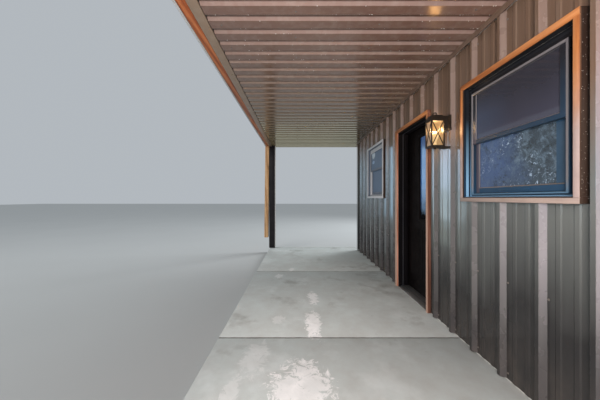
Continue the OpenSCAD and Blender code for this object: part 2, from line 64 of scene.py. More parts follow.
# ---------------------------------------------------------------- sizes (m)
FRONT, REAR, HL = -0.224, 2.214, 3.048      # cladding flats, half length
SLAB, SOF = 0.120, 2.566                    # slab top, soffit's lowest face
WALL_TOP = 2.585
PITCH, RIB_H, RIB_B, RIB_T = 0.2985, 0.032, 0.065, 0.026
MIN_H, MIN_B, MIN_T = 0.004, 0.040, 0.024
RIB_X = 1.720
S_PITCH, S_RIB, S_TOP, S_SLOPE, S_X = 0.1524, 0.019, 0.016, 0.025, 1.367
ROOF_HALF, ROOF_L, RISE = 2.440, 3.515, 0.25
CEDAR_OUT = -2.382
WIN_W, WIN_H, WIN_Z, TRIM_W, TRIM_D = 0.962, 0.935, 1.170, 0.036, 0.051
FACE_S, FACE_B, FACE_T = 0.033, 0.029, 0.038
WIN_R, WIN_L, WIN_UP, RAIL_UP = 1.497, -1.550, 0.024, 0.047
DOOR_X, DOOR_W, DOOR_H, DTRIM, JAMB, DTRIM_D, DTRIM_L = -0.051, 0.930, 2.118, 0.038, 0.020, 0.038, 0.072
POST_X, POST_W, POST_OUT = 3.430, 0.140, 2.084


def roof_z(y):
    return SOF + 0.140 + RISE * (-CEDAR_OUT - abs(y))


# ---------------------------------------------------------------- node helper
class Mat:
    """A procedural material: a Principled shader and short calls to add nodes."""

    def __init__(self, name, rough=0.5, metal=0.0, spec=0.5, coat=0.0, coat_rough=0.1, color=(0.5, 0.5, 0.5)):
        self.m = bpy.data.materials.new(name)
        self.m.use_nodes = True
        self.t = self.m.node_tree
        self.t.nodes.clear()
        self.out = self.t.nodes.new("ShaderNodeOutputMaterial")
        self.b = self.t.nodes.new("ShaderNodeBsdfPrincipled")
        self.t.links.new(self.b.outputs[0], self.out.inputs[0])
        i = self.b.inputs
        i["Roughness"].default_value = rough
        i["Metallic"].default_value = metal
        i["Specular IOR Level"].default_value = spec
        i["Coat Weight"].default_value = coat
        i["Coat Roughness"].default_value = coat_rough
        i["Base Color"].default_value = (*color, 1)
        self.co = self.t.nodes.new("ShaderNodeTexCoord").outputs["Object"]
        self.bump_in = None

    def link(self, a, b):
        self.t.links.new(a, b)

    def map(self, scale=(1, 1, 1), rot=(0, 0, 0), src=None, loc=(0, 0, 0)):
        n = self.t.nodes.new("ShaderNodeMapping")
        n.inputs["Scale"].default_value = scale
        n.inputs["Rotation"].default_value = rot
        n.inputs["Location"].default_value = loc
        self.link(src or self.co, n.inputs["Vector"])
        return n.outputs[0]

    def noise(self, scale, detail=3.0, rough=0.5, vec=None, dist=0.0):
        n = self.t.nodes.new("ShaderNodeTexNoise")
        n.inputs["Scale"].default_value = scale
        n.inputs["Detail"].default_value = detail
        n.inputs["Roughness"].default_value = rough
        n.inputs["Distortion"].default_value = dist
        self.link(vec or self.co, n.inputs["Vector"])
        return n.outputs[0]

    def voronoi(self, scale, vec=None, feature="F1"):
        n = self.t.nodes.new("ShaderNodeTexVoronoi")
        n.feature = feature
        n.inputs["Scale"].default_value = scale
        self.link(vec or self.co, n.inputs["Vector"])
        return n.outputs[0]

    def wave(self, scale, vec, dist=3.0, detail=2.0, dscale=1.0, kind="BANDS", direction="X", profile="SIN"):
        n = self.t.nodes.new("ShaderNodeTexWave")
        n.wave_type = kind
        n.wave_profile = profile
        if kind == "BANDS":
            n.bands_direction = direction
        else:
            n.rings_direction = direction
        n.inputs["Scale"].default_value = scale
        n.inputs["Distortion"].default_value = dist
        n.inputs["Detail"].default_value = detail
        n.inputs["Detail Scale"].default_value = dscale
        self.link(vec, n.inputs["Vector"])
        return n.outputs["Fac"]

    def ramp(self, fac, stops):
        n = self.t.nodes.new("ShaderNodeValToRGB")
        e = n.color_ramp.elements
        while len(e) < len(stops):
            e.new(0.5)
        for el, (p, c) in zip(e, stops):
            el.position = p
            el.color = (c, c, c, 1) if isinstance(c, (int, float)) else (*c, 1)
        self.link(fac, n.inputs[0])
        return n.outputs[0]

    def mix(self, fac, a, b, mode="MIX"):
        n = self.t.nodes.new("ShaderNodeMix")
        n.data_type = "RGBA"
        n.blend_type = mode
        for sock, v in ((n.inputs[0], fac), (n.inputs[6], a), (n.inputs[7], b)):
            if hasattr(v, "is_output"):
                self.link(v, sock)
            elif isinstance(v, (int, float)):
                sock.default_value = v
            else:
                sock.default_value = (*v, 1)
        return n.outputs[2]

    def math(self, op, a, b=0.0, c=None, clamp=False):
        n = self.t.nodes.new("ShaderNodeMath")
        n.operation = op
        n.use_clamp = clamp
        for k, v in enumerate((a, b) if c is None else (a, b, c)):
            if hasattr(v, "is_output"):
                self.link(v, n.inputs[k])
            else:
                n.inputs[k].default_value = v
        return n.outputs[0]

    def rng(self, v, a, b, c=0.0, d=1.0):
        n = self.t.nodes.new("ShaderNodeMapRange")
        n.inputs["From Min"].default_value = a
        n.inputs["From Max"].default_value = b
        n.inputs["To Min"].default_value = c
        n.inputs["To Max"].default_value = d
        self.link(v, n.inputs["Value"])
        return n.outputs[0]

    def sep(self, v=None):
        n = self.t.nodes.new("ShaderNodeSeparateXYZ")
        self.link(v or self.co, n.inputs[0])
        return n.outputs

    def island(self):
        return self.t.nodes.new("ShaderNodeNewGeometry").outputs["Random Per Island"]

    def shift(self, vec, amount):
        """vec moved by a random amount for each separate board."""
        n = self.t.nodes.new("ShaderNodeVectorMath")
        n.operation = "MULTIPLY_ADD"
        c = self.t.nodes.new("ShaderNodeCombineXYZ")
        r = self.island()
        for k in range(3):
            self.link(r, c.inputs[k])
        self.link(c.outputs[0], n.inputs[0])
        n.inputs[1].default_value = (amount, amount * 1.7, amount * 0.6)
        self.link(vec, n.inputs[2])
        return n.outputs[0]

    def bump(self, height, dist, strength=1.0):
        n = self.t.nodes.new("ShaderNodeBump")
        n.inputs["Distance"].default_value = dist
        n.inputs["Strength"].default_value = strength
        self.link(height, n.inputs["Height"])
        if self.bump_in is not None:
            self.link(self.bump_in, n.inputs["Normal"])
        self.bump_in = n.outputs[0]
        self.link(n.outputs[0], self.b.inputs["Normal"])

    def color(self, c):
        self.link(c, self.b.inputs["Base Color"])

    def rough(self, r):
        self.link(r, self.b.inputs["Roughness"])


# ---------------------------------------------------------------- materials
def sheet_paint(name, a, b, dust, low_dust=True, rough=(0.24, 0.42), spec=0.5, can=0.006, film=None, left=None, foot=(0.58, 1.20, 0.95, 0.017), painted_far_shade=0.0):
    """Factory-painted steel sheet: slight tone drift, waviness, dust and streaks; film paints a reflected sheen, foot
    and the far-shade option paint shade, and left paints reflected tints.
    """
    m = Mat(name, spec=spec)
    base = m.mix(m.noise(0.8, 3), a, b)
    streak = m.noise(1.0, 5, 0.65, m.map((16, 16, 0.9)))
    base = m.mix(m.ramp(streak, [(0.45, 0.0), (0.75, 0.35)]), base, dust)
    specks = m.voronoi(38, feature="F1")
    base = m.mix(m.math("MULTIPLY", m.ramp(specks, [(0.0, 0.8), (0.055, 0.0)]), m.ramp(m.noise(2.2, 2), [(0.45, 0.0), (0.62, 1.0)])), base, (0.55, 0.53, 0.5))
    if film:
        # painted reflection: a grey-green sheen that grows towards the ground, reaches higher towards the far end and
        # is strongest on the front side
        z = m.sep()[2]
        wob = m.math("ADD", z, m.rng(m.noise(2.5, 3, 0.6, m.map((1, 1, 0.35))), 0.3, 0.7, -0.15, 0.15))
        climb = m.math("ADD", wob, m.rng(m.sep()[0], -2.2, 1.6, -0.70, 0.0))
        back = m.rng(m.sep()[1], -0.17, 0.05, 1.0, 0.22)
        base = m.mix(m.math("MULTIPLY", m.rng(climb, film[1], film[2], 0.85, 0.0), back), base, film[0])
        # painted shade: darker below about 2 m on the far part of the wall
        if painted_far_shade:
            k = m.math("MULTIPLY", m.rng(m.sep()[0], 1.00, 1.45, painted_far_shade, 0.0), m.rng(wob, 1.50, 2.00, 1.0, 0.0))
            base = m.mix(k, base, (0.036, 0.033, 0.031))
        # painted shade: darker towards the bottom, strongest on the front side
        base = m.mix(m.math("MULTIPLY", m.rng(wob, foot[0], foot[1], foot[2], 0.0), back), base, (foot[3], foot[3] * 0.9, foot[3] * 0.97))
    if left:
        # painted reflection: an olive tint that grows towards the far end
        base = m.mix(m.rng(m.sep()[0], -2.6, 1.2, 1.0, 0.0), base, left, "MULTIPLY")
        # painted reflection: darker near the wall on the far part
        inner = m.math("MULTIPLY", m.rng(m.sep()[0], -1.6, 0.9, 1.0, 0.0), m.rng(m.sep()[1], -1.0, -0.35, 0.0, 1.0))
        base = m.mix(inner, base, (0.52, 0.50, 0.48), "MULTIPLY")
    if low_dust:
        z = m.sep()[2]
        low = m.math("MULTIPLY", m.rng(z, 0.10, 0.55, 0.16, 0.0), m.ramp(m.noise(9, 5, 0.6, m.map((1, 1, 0.5))), [(0.35, 0.2), (0.7, 1.0)]), clamp=True)
        base = m.mix(low, base, dust)
    m.color(base)
    m.rough(m.rng(m.noise(6, 4, 0.6), 0.3, 0.75, *rough))
    m.bump(m.noise(1.7, 2, 0.5, m.map((1, 1, 0.6))), can, 0.7)
    m.bump(m.noise(420, 2), 0.00006, 0.5)
    return m.m


def wood(name, axis, dark, mid, light, rough=0.55, spec=0.35, dirt=0.25, grain=1.0, coat=0.0, painted_light_band=None):
    """Sawn board: long fibres along axis, cathedral bands, knots and a dirty film; a painted band below a height stands
    for sheen on the faces and for shade on the darker side-face copy.
    """
    m = Mat(name, rough=rough, spec=spec, coat=coat, coat_rough=0.25)
    k = {"X": (0.55, 9, 9), "Y": (9, 0.55, 9), "Z": (9, 9, 0.55)}[axis]
    v = m.shift(m.map(k), 7.3)
    fine = m.noise(9, 8, 0.68, v, 0.25)
    bands = m.wave(0.9, v, 7.0, 3, 0.6, "BANDS", "DIAGONAL")
    f = m.math("ADD", m.math("MULTIPLY", fine, 0.62), m.math("MULTIPLY", bands, 0.38 * grain))
    c = m.ramp(f, [(0.22, dark), (0.47, mid), (0.74, light)])
    tint = m.rng(m.island(), 0, 1, 0.82, 1.12)
    cc = m.t.nodes.new("ShaderNodeCombineColor")
    for s in range(3):
        m.link(tint, cc.inputs[s])
    c = m.mix(0.75, c, cc.outputs[0], "MULTIPLY")
    if painted_light_band:
        # painted sheen: the board turns paler below a wavering height; on the side-face copy the band is darker,
        # painted shade
        z = m.math("ADD", m.sep()[2], m.rng(m.noise(3.0, 3, 0.6), 0.3, 0.7, -0.10, 0.10))
        painted_light = m.mix(m.rng(fine, 0.3, 0.7, 0.0, 1.0), tuple(0.80 * x for x in painted_light_band[0]), painted_light_band[0])
        c = m.mix(m.rng(z, painted_light_band[1], painted_light_band[2], painted_light_band[3], 0.0), c, painted_light)
    knots = m.voronoi(1.3, m.shift(m.map({"X": (0.8, 5, 5), "Y": (5, 0.8, 5), "Z": (5, 5, 0.8)}[axis]), 3.1))
    c = m.mix(m.ramp(knots, [(0.03, 0.75), (0.10, 0.0)]), c, tuple(x * 0.45 for x in dark))
    grime = m.ramp(m.noise(5.5, 6, 0.7), [(0.46, 0.0), (0.78, dirt)])
    c = m.mix(grime, c, (0.09, 0.075, 0.06))
    specks = m.math("MULTIPLY", m.ramp(m.voronoi(90), [(0.0, 1.0), (0.08, 0.0)]), m.ramp(m.noise(7, 2), [(0.5, 0.0), (0.62, 0.8)]))
    c = m.mix(specks, c, (0.62, 0.58, 0.5))
    m.color(c)
    m.rough(m.rng(fine, 0.2, 0.8, rough + 0.12, rough - 0.1))
    m.bump(f, 0.0007, 0.8)
    return m.m


def concrete(name, tone=1.0, joints=(), painted_light=()):
    m = Mat(name, rough=0.8, spec=0.28)
    big = m.noise(0.7, 5, 0.55)
    mid = m.noise(5.0, 6, 0.62)
    c = m.mix(big, (0.49 * tone, 0.525 * tone, 0.510 * tone), (0.635 * tone, 0.68 * tone, 0.66 * tone))
    c = m.mix(m.ramp(mid, [(0.35, 0.55), (0.7, 0.0)]), c, (0.44 * tone, 0.435 * tone, 0.41 * tone))
    c = m.mix(m.ramp(m.noise(1.6, 4, 0.7, m.map((1, 1, 1), loc=(4, 2, 0))), [(0.52, 0.0), (0.72, 0.6)]), c, (0.74 * tone, 0.77 * tone, 0.755 * tone))
    stain = m.ramp(m.noise(2.3, 5, 0.6, m.map((1, 1, 1), loc=(9, 5, 1))), [(0.58, 0.0), (0.74, 0.55)])
    c = m.mix(stain, c, (0.17, 0.15, 0.125))
    grit = m.ramp(m.voronoi(260), [(0.0, 0.55), (0.25, 0.0)])
    c = m.mix(grit, c, (0.22, 0.21, 0.19))
    c = m.mix(m.ramp(m.voronoi(24), [(0.0, 0.9), (0.035, 0.0)]), c, (0.12, 0.09, 0.06))
    # painted sunlight: near-white patches on the slab
    for cx, cy, rx, ry, k in painted_light:
        sx, sy = m.sep()[0], m.sep()[1]
        dx = m.math("DIVIDE", m.math("SUBTRACT", sx, cx), rx)
        dy = m.math("DIVIDE", m.math("SUBTRACT", sy, cy), ry)
        d = m.math("ADD", m.math("ADD", m.math("MULTIPLY", dx, dx), m.math("MULTIPLY", dy, dy)), m.rng(m.noise(11, 9, 0.78, dist=1.1), 0.33, 0.67, -1.0, 1.0))
        sun_patch = m.math("MULTIPLY", m.rng(d, 0.46, 0.86, k, 0.0), m.rng(m.noise(7, 5, 0.6, dist=0.5), 0.36, 0.62, 0.62, 1.0))
        c = m.mix(sun_patch, c, (0.97, 0.95, 0.94))
    if joints:
        x = m.sep()[0]
        for jx in joints:
            d = m.math("ABSOLUTE", m.math("SUBTRACT", x, jx))
            c = m.mix(m.rng(m.math("ADD", d, m.rng(m.noise(14, 3), 0.3, 0.7, -0.002, 0.002)), 0.007, 0.012, 0.92, 0.0), c, (0.13, 0.125, 0.115))
    m.color(c)
    m.rough(m.rng(mid, 0.3, 0.7, 0.62, 0.86))
    m.bump(m.wave(38, m.map((1, 1, 1)), 4.0, 3, 2.0, "BANDS", "X"), 0.0003, 0.35)
    m.bump(m.noise(160, 5, 0.7), 0.0011, 0.6)
    m.bump(mid, 0.003, 0.4)
    return m.m


def plain_paint(name, a, b, rough=0.4, spec=0.4, grain=None, dirt=0.2, dirt_color=(0.25, 0.22, 0.18), metal=0.0, bump=0.0004, fine=70, low=None, far=None):
    """Painted or moulded surface with faint wear and dust; low paints a reflected tint below a height, far paints a
    pale tint on a narrow band along x.
    """
    m = Mat(name, rough=rough, spec=spec, metal=metal)
    v = m.map({"X": (0.7, 14, 14), "Y": (14, 0.7, 14), "Z": (14, 14, 0.7), None: (1, 1, 1)}[grain])
    n = m.noise(6 if grain else 3, 6, 0.6, v)
    c = m.mix(n, a, b)
    if low:
        # painted reflection: a tint below a height
        c = m.mix(m.rng(m.sep()[2], low[1], low[2], low[3], 0.0), c, low[0])
    if far:
        # painted light: a pale tint on a narrow band along x, low down
        k = m.math("MULTIPLY", m.rng(m.sep()[0], far[1], far[1] + 0.004, 1.0, 0.0), m.rng(m.sep()[0], 0.4, 0.5))
        c = m.mix(m.math("MULTIPLY", k, m.rng(m.sep()[2], far[2], far[2] + 0.25, 0.9, 0.0)), c, far[0])
    d = m.ramp(m.noise(4.5, 6, 0.68), [(0.42, 0.0), (0.75, dirt)])
    c = m.mix(d, c, dirt_color)
    sp = m.math("MULTIPLY", m.ramp(m.voronoi(75), [(0.0, 0.8), (0.07, 0.0)]), m.ramp(m.noise(5, 2), [(0.5, 0.0), (0.62, 0.7)]))
    c = m.mix(sp, c, tuple(min(1, x * 1.6 + 0.12) for x in dirt_color))
    m.color(c)
    m.rough(m.rng(m.noise(8, 5, 0.6), 0.3, 0.75, rough - 0.08, rough + 0.14))
    m.bump(n, bump, 0.6)
    m.bump(m.noise(fine * 6, 2), 0.00005, 0.4)
    return m.m


def pane(name, tint, alpha, rough=0.03, spec=0.6, film=(0.30, 0.33, 0.36), streak=0.35, low=None, painted_leaf_reflection=False, painted_highlights=(), fade=None):
    """Window pane: see-through, with a thin uneven film of dust; the film can carry fine flecks; the tint and the low,
    leaf, highlight and fade options paint reflections and shade into its colour.
    """
    m = Mat(name, rough=rough, spec=spec)
    z = m.sep()[2]
    base = tint
    front = m.rng(m.sep()[1], 0.4, 0.5, 1.0, 0.0)
    if low:
        # painted reflection: a paler tint below a height, and a blue band on the far side
        base = m.mix(m.rng(z, low[1], low[2], 1.0, 0.0), base, low[0])
        side = m.math("MULTIPLY", m.rng(m.sep()[0], 1.18, 1.52, 0.85, 0.0), m.rng(z, 1.93, 2.12, 1.0, 0.0))
        base = m.mix(m.math("MULTIPLY", side, front), base, (0.060, 0.086, 0.150))
    if painted_leaf_reflection:
        # painted reflection of trees and sky: dark and blue areas, pale flecks and dark specks
        big = m.ramp(m.noise(3.1, 3, 0.6), [(0.40, 0.0), (0.58, 1.0)])
        blue = m.rng(m.math("ADD", m.sep()[0], m.rng(m.noise(3.0, 3), 0.3, 0.7, -0.16, 0.16)), 1.22, 1.62, 1.0, 0.0)
        blue = m.math("MULTIPLY", blue, front)
        base = m.mix(blue, (0.028, 0.042, 0.056), (0.050, 0.095, 0.225))
        f1 = m.math("MULTIPLY", m.ramp(m.noise(21, 9, 0.84, dist=0.45), [(0.47, 0.0), (0.63, 1.0)]), m.rng(big, 0.0, 1.0, 0.25, 0.95))
        base = m.mix(f1, base, (0.135, 0.205, 0.275))
        f2 = m.math("MULTIPLY", m.ramp(m.noise(52, 6, 0.75, dist=0.9), [(0.56, 0.0), (0.65, 1.0)]), m.ramp(m.noise(5.2, 4, 0.6, m.map((1, 1, 1), loc=(3, 1, 6))), [(0.49, 0.0), (0.58, 1.0)]))
        base = m.mix(f2, base, (0.48, 0.64, 0.84))
        base = m.mix(m.ramp(m.noise(13, 7, 0.85, m.map((1, 1, 1), loc=(1, 8, 2)), 0.4), [(0.54, 0.0), (0.61, 0.75)]), base, (0.014, 0.022, 0.024))
        # painted shade: a dark blue band at the near edge
        near_edge = m.math("MULTIPLY", m.rng(m.sep()[0], 1.783, 1.787), front)
        base = m.mix(near_edge, base, (0.020, 0.058, 0.110))
    # painted highlights: pale blotches
    for px, pz, rx, rz, pc in painted_highlights:
        sx, sz = m.sep()[0], m.sep()[2]
        wob = m.rng(m.noise(30, 3, 0.6), 0.3, 0.7, -0.3, 0.3)
        dx = m.math("DIVIDE", m.math("SUBTRACT", sx, px), rx)
        dz = m.math("DIVIDE", m.math("SUBTRACT", sz, pz), rz)
        d = m.math("ADD", m.math("ADD", m.math("MULTIPLY", dx, dx), m.math("MULTIPLY", dz, dz)), wob)
        base = m.mix(m.rng(d, 0.5, 1.1, 0.9, 0.0), base, pc)
    film_f = m.ramp(m.noise(7, 6, 0.7, m.map((1, 1, 0.7))), [(0.35, 0.0), (0.8, streak)])
    spots = m.ramp(m.voronoi(46), [(0.0, 0.55), (0.05, 0.0)])
    f = m.math("ADD", film_f, spots, clamp=True)
    c = m.mix(f, base, film)
    if fade:
        # painted reflection fading downwards: the colour turns near black towards the bottom, and the specular level
        # fades with it
        k = m.rng(m.math("ADD", z, m.rng(m.noise(9, 4, 0.7), 0.3, 0.7, -0.05, 0.05)), fade[0], fade[1], 0.0, 1.0)
        c = m.mix(k, (0.010, 0.011, 0.013), c)
        m.link(m.math("MULTIPLY", k, spec), m.b.inputs["Specular IOR Level"])
    m.color(c)
    m.link(m.rng(f, 0, 1, alpha, min(1.0, alpha + 0.35)), m.b.inputs["Alpha"])
    m.rough(m.rng(f, 0, 1, rough, 0.32))
    return m.m


# painted reflection: the wall's grey-green sheen colour and the heights it fades between
PAINTED_WALL_SHEEN = ((0.138, 0.158, 0.155), 1.30, 1.86)
# wall paint: painted sheen low down and painted shade towards the bottom
WALL = sheet_paint("ribbed_wall_paint", (0.156, 0.098, 0.066), (0.194, 0.127, 0.089), (0.30, 0.235, 0.185), rough=(0.09, 0.17), film=PAINTED_WALL_SHEEN)
# lighter copy of the wall paint for the sloping rib faces: painted light; it also darkens on the far lower wall and
# towards the bottom: painted shade
WALL_SLOPE_LIT = sheet_paint("ribbed_wall_paint_slopes_painted_lighter", (0.205, 0.142, 0.115), (0.245, 0.178, 0.148), (0.36, 0.30, 0.26), rough=(0.22, 0.36), film=((0.165, 0.168, 0.165), 1.30, 1.86), foot=(0.36, 0.98, 0.86, 0.030), painted_far_shade=0.55)
HEAD = sheet_paint("wall_head_paint", (0.135, 0.086, 0.062), (0.170, 0.112, 0.082), (0.28, 0.22, 0.18), low_dust=False, rough=(0.3, 0.45), spec=0.25)
# soffit paint: olive tint towards the far end and darker near the wall, painted reflection
SOFFIT = sheet_paint("ribbed_soffit_paint", (0.176, 0.100, 0.076), (0.220, 0.132, 0.102), (0.32, 0.25, 0.21), low_dust=False, rough=(0.12, 0.22), left=(0.70, 0.81, 0.50))
# lighter copy of the soffit paint for the sloping faces: painted light
SOFFIT_SLOPE_LIT = sheet_paint("ribbed_soffit_paint_slopes_painted_lighter", (0.250, 0.165, 0.140), (0.290, 0.198, 0.170), (0.42, 0.35, 0.31), low_dust=False, rough=(0.3, 0.45), left=(0.70, 0.81, 0.54))
# near-black brown: a dark bronze sheet, darkened further as painted shade on the box sides
BOX_M = sheet_paint("window_box_paint", (0.024, 0.0135, 0.010), (0.040, 0.024, 0.018), (0.13, 0.10, 0.08), low_dust=False, rough=(0.35, 0.5), spec=0.3)
BAND = sheet_paint("soffit_band_paint", (0.250, 0.180, 0.128), (0.300, 0.222, 0.160), (0.36, 0.31, 0.25), low_dust=False)
ROOF = sheet_paint("roof_sheet_finish", (0.44, 0.45, 0.45), (0.53, 0.54, 0.54), (0.35, 0.33, 0.29), low_dust=False, rough=(0.30, 0.5))
EDGE = sheet_paint("roof_edge_finish", (0.50, 0.50, 0.50), (0.58, 0.58, 0.57), (0.37, 0.35, 0.31), low_dust=False, rough=(0.3, 0.45))
ST_X = wood("stain_x", "X", (0.22, 0.055, 0.018), (0.42, 0.115, 0.036), (0.52, 0.19, 0.070), rough=0.5)
# window trim boards: paler below a wavering height, painted sheen
TR_X = wood("trim_x", "X", (0.34, 0.105, 0.030), (0.56, 0.205, 0.066), (0.68, 0.30, 0.115), rough=0.5, painted_light_band=((0.415, 0.345, 0.312), 1.62, 2.02, 0.90))
TR_Z = wood("trim_z", "Z", (0.34, 0.105, 0.030), (0.56, 0.205, 0.066), (0.68, 0.30, 0.115), rough=0.5, painted_light_band=((0.515, 0.425, 0.410), 1.62, 2.02, 0.88))
# darker copy of the trim wood for the boards' side faces: painted shade, darker still low down
TR_SIDE_SHADED = wood("trim_side_painted_shade", "Z", (0.085, 0.040, 0.022), (0.165, 0.080, 0.045), (0.23, 0.125, 0.075), rough=0.65, spec=0.12, painted_light_band=((0.062, 0.042, 0.032), 1.40, 2.05, 0.95))
# door trim side faces: a paler copy for the far board is painted light, a darker copy for the near board is painted
# shade
DOOR_SIDE_LIT = wood("door_trim_side_painted_light", "Z", (0.36, 0.145, 0.088), (0.57, 0.26, 0.175), (0.66, 0.34, 0.25), rough=0.6, spec=0.2)
DOOR_SIDE_SHADED = wood("door_trim_side_painted_shade", "Z", (0.095, 0.040, 0.027), (0.17, 0.075, 0.050), (0.23, 0.105, 0.075), rough=0.65, spec=0.15)
# door trim boards: paler below a wavering height, painted sheen
DT_Z = wood("door_trim_z", "Z", (0.34, 0.105, 0.030), (0.56, 0.205, 0.066), (0.68, 0.30, 0.115), rough=0.5, painted_light_band=((0.68, 0.46, 0.36), 1.90, 2.20, 0.88))
PB_Z = wood("post_board_z", "Z", (0.42, 0.21, 0.085), (0.63, 0.36, 0.17), (0.74, 0.48, 0.26), rough=0.55)
FR_W = wood("framing_wood", "X", (0.42, 0.28, 0.14), (0.60, 0.43, 0.24), (0.72, 0.55, 0.34), rough=0.7)
PLANK = wood("floor_planks", "X", (0.20, 0.125, 0.07), (0.32, 0.215, 0.13), (0.42, 0.30, 0.19), rough=0.45, coat=0.2)
# porch slab: dark saw joints, and near-white patches that are painted sunlight
CONC = concrete("slab_concrete", 1.0, [0.915 + k * 2.135 for k in (-2, -1, 0, 1)],
                painted_light=((1.56, -1.575, 0.33, 0.21, 0.90), (0.66, -1.46, 0.34, 0.085, 0.80), (-0.05, -1.43, 0.26, 0.065, 0.70), (1.20, -1.93, 0.24, 0.11, 0.30), (1.62, -2.02, 0.22, 0.06, 0.35), (-0.95, -1.90, 0.12, 0.08, 0.5), (-1.35, -1.72, 0.10, 0.06, 0.45), (0.55, -1.80, 0.10, 0.07, 0.25)))
CONC2 = concrete("cabin_slab_concrete", 0.92)
INNER = plain_paint("inner_wall_paint", (0.62, 0.60, 0.55), (0.68, 0.66, 0.61), rough=0.7, spec=0.25, dirt=0.08)
BLACK_Z = plain_paint("black_post_paint", (0.007, 0.006, 0.008), (0.016, 0.014, 0.017), rough=0.5, spec=0.25, grain="Z", dirt=0.12, dirt_color=(0.09, 0.08, 0.078), bump=0.0012)
JAMB_M = plain_paint("black_jamb_paint", (0.0025, 0.0022, 0.003), (0.006, 0.005, 0.006), rough=0.5, spec=0.10, grain="Z", dirt=0.05, dirt_color=(0.05, 0.04, 0.035), bump=0.0006)
LEAF_M = plain_paint("black_leaf_paint", (0.0025, 0.0022, 0.003), (0.007, 0.0045, 0.004), rough=0.45, spec=0.07, dirt=0.06, dirt_color=(0.045, 0.03, 0.025), bump=0.0002)
# bluish-grey bead on the door stop: its paler colour is a painted highlight
SEAL = plain_paint("lining_bead_paint", (0.045, 0.046, 0.055), (0.075, 0.077, 0.090), rough=0.4, spec=0.4, grain="Z", dirt=0.2, dirt_color=(0.16, 0.15, 0.15), bump=0.0002)
STEEL = plain_paint("beam_paint", (0.035, 0.034, 0.033), (0.055, 0.053, 0.05), rough=0.5, dirt=0.15)
ALU = plain_paint("threshold_alu", (0.42, 0.42, 0.42), (0.52, 0.52, 0.51), rough=0.36, spec=0.5, metal=0.9, dirt=0.35, grain="X")
HINGE = plain_paint("hinge_metal", (0.20, 0.19, 0.18), (0.28, 0.27, 0.25), rough=0.35, metal=0.85, dirt=0.15)
BRONZE = plain_paint("dark_bronze", (0.020, 0.015, 0.012), (0.042, 0.032, 0.024), rough=0.38, spec=0.5, metal=0.35, dirt=0.12, dirt_color=(0.16, 0.13, 0.10))
WHITE = plain_paint("white_frame", (0.62, 0.64, 0.67), (0.70, 0.71, 0.73), rough=0.35, spec=0.45, dirt=0.28, dirt_color=(0.40, 0.37, 0.33), bump=0.0002)
# dark window frame and sash: the blue low down is painted sky reflection; the sash's far stile carries a painted pale
# tint
DARK_F = plain_paint("dark_window_frame", (0.006, 0.007, 0.009), (0.013, 0.014, 0.018), rough=0.34, spec=0.3, dirt=0.12, dirt_color=(0.08, 0.08, 0.08), bump=0.0002, low=((0.016, 0.046, 0.088), 1.45, 1.98, 0.9))
DARK_S = plain_paint("dark_window_sash", (0.009, 0.011, 0.015), (0.018, 0.021, 0.029), rough=0.32, spec=0.3, dirt=0.10, dirt_color=(0.11, 0.11, 0.12), bump=0.0002, low=((0.018, 0.062, 0.125), 1.50, 2.06, 0.95), far=((0.105, 0.092, 0.118), 1.160, 1.72))
# raised frame edge: pale blue low down, painted sky reflection
SKY_F = plain_paint("frame_raised_edge_painted_sky_reflection", (0.010, 0.012, 0.015), (0.020, 0.022, 0.028), rough=0.34, spec=0.3, dirt=0.10, dirt_color=(0.10, 0.10, 0.10), bump=0.0002, low=((0.24, 0.45, 0.66), 1.42, 1.95, 0.95))
# frame lip: grey with blue low down, painted sheen on a dark lip
LIP_SHEEN = plain_paint("frame_lip_painted_sheen", (0.155, 0.15, 0.165), (0.22, 0.21, 0.225), rough=0.4, spec=0.4, dirt=0.15, bump=0.0002, low=((0.075, 0.17, 0.27), 1.355, 1.42, 0.95))
# white sash coloured dark blue-grey: painted shade
WHITE_SASH_SHADED = plain_paint("white_window_sash", (0.125, 0.155, 0.205), (0.165, 0.20, 0.26), rough=0.4, spec=0.3, dirt=0.2, dirt_color=(0.16, 0.17, 0.19), bump=0.0002)
BEAD = plain_paint("glazing_bead", (0.12, 0.11, 0.115), (0.165, 0.155, 0.16), rough=0.4, spec=0.4, dirt=0.15, bump=0.0002)
DUST = plain_paint("pale_dust", (0.50, 0.45, 0.42), (0.66, 0.62, 0.58), rough=0.9, spec=0.05, dirt=0.1)
RUBBER = plain_paint("dark_rubber", (0.012, 0.012, 0.012), (0.02, 0.02, 0.02), rough=0.7, spec=0.2, dirt=0.1)
SCREW = plain_paint("screw_paint", (0.15, 0.13, 0.115), (0.20, 0.175, 0.155), rough=0.4, metal=0.3, dirt=0.25)
SCREW_R = plain_paint("roof_screw", (0.45, 0.45, 0.44), (0.52, 0.52, 0.51), rough=0.4, metal=0.4, dirt=0.25)
# upper pane: paler low down and bluer at the far side, painted reflection
GLASS = pane("window_pane_upper", (0.030, 0.032, 0.045), 0.95, film=(0.052, 0.056, 0.080), streak=0.26, low=((0.062, 0.064, 0.098), 1.72, 2.02))
# lower pane: painted reflection of trees and sky
GLASS_L = pane("window_pane_lower", (0.010, 0.018, 0.030), 0.93, film=(0.16, 0.24, 0.32), streak=0.14, painted_leaf_reflection=True)
# white window pane: bluish tint and two pale blotches at the top, painted reflection
GLASS_W = pane("white_window_pane", (0.150, 0.225, 0.340), 0.97, rough=0.30, spec=0.05, film=(0.21, 0.28, 0.37), streak=0.3,
               painted_highlights=((-1.765, 2.105, 0.110, 0.085, (0.80, 0.92, 1.0)), (-1.765, 1.965, 0.085, 0.032, (0.42, 0.60, 0.85))))
# door pane: strong blue tint and blue streaky film, painted sky reflection that fades towards the bottom
GLASS_D = pane("door_pane", (0.080, 0.215, 0.60), 0.95, film=(0.26, 0.46, 0.90), streak=0.75, fade=(1.12, 1.50))

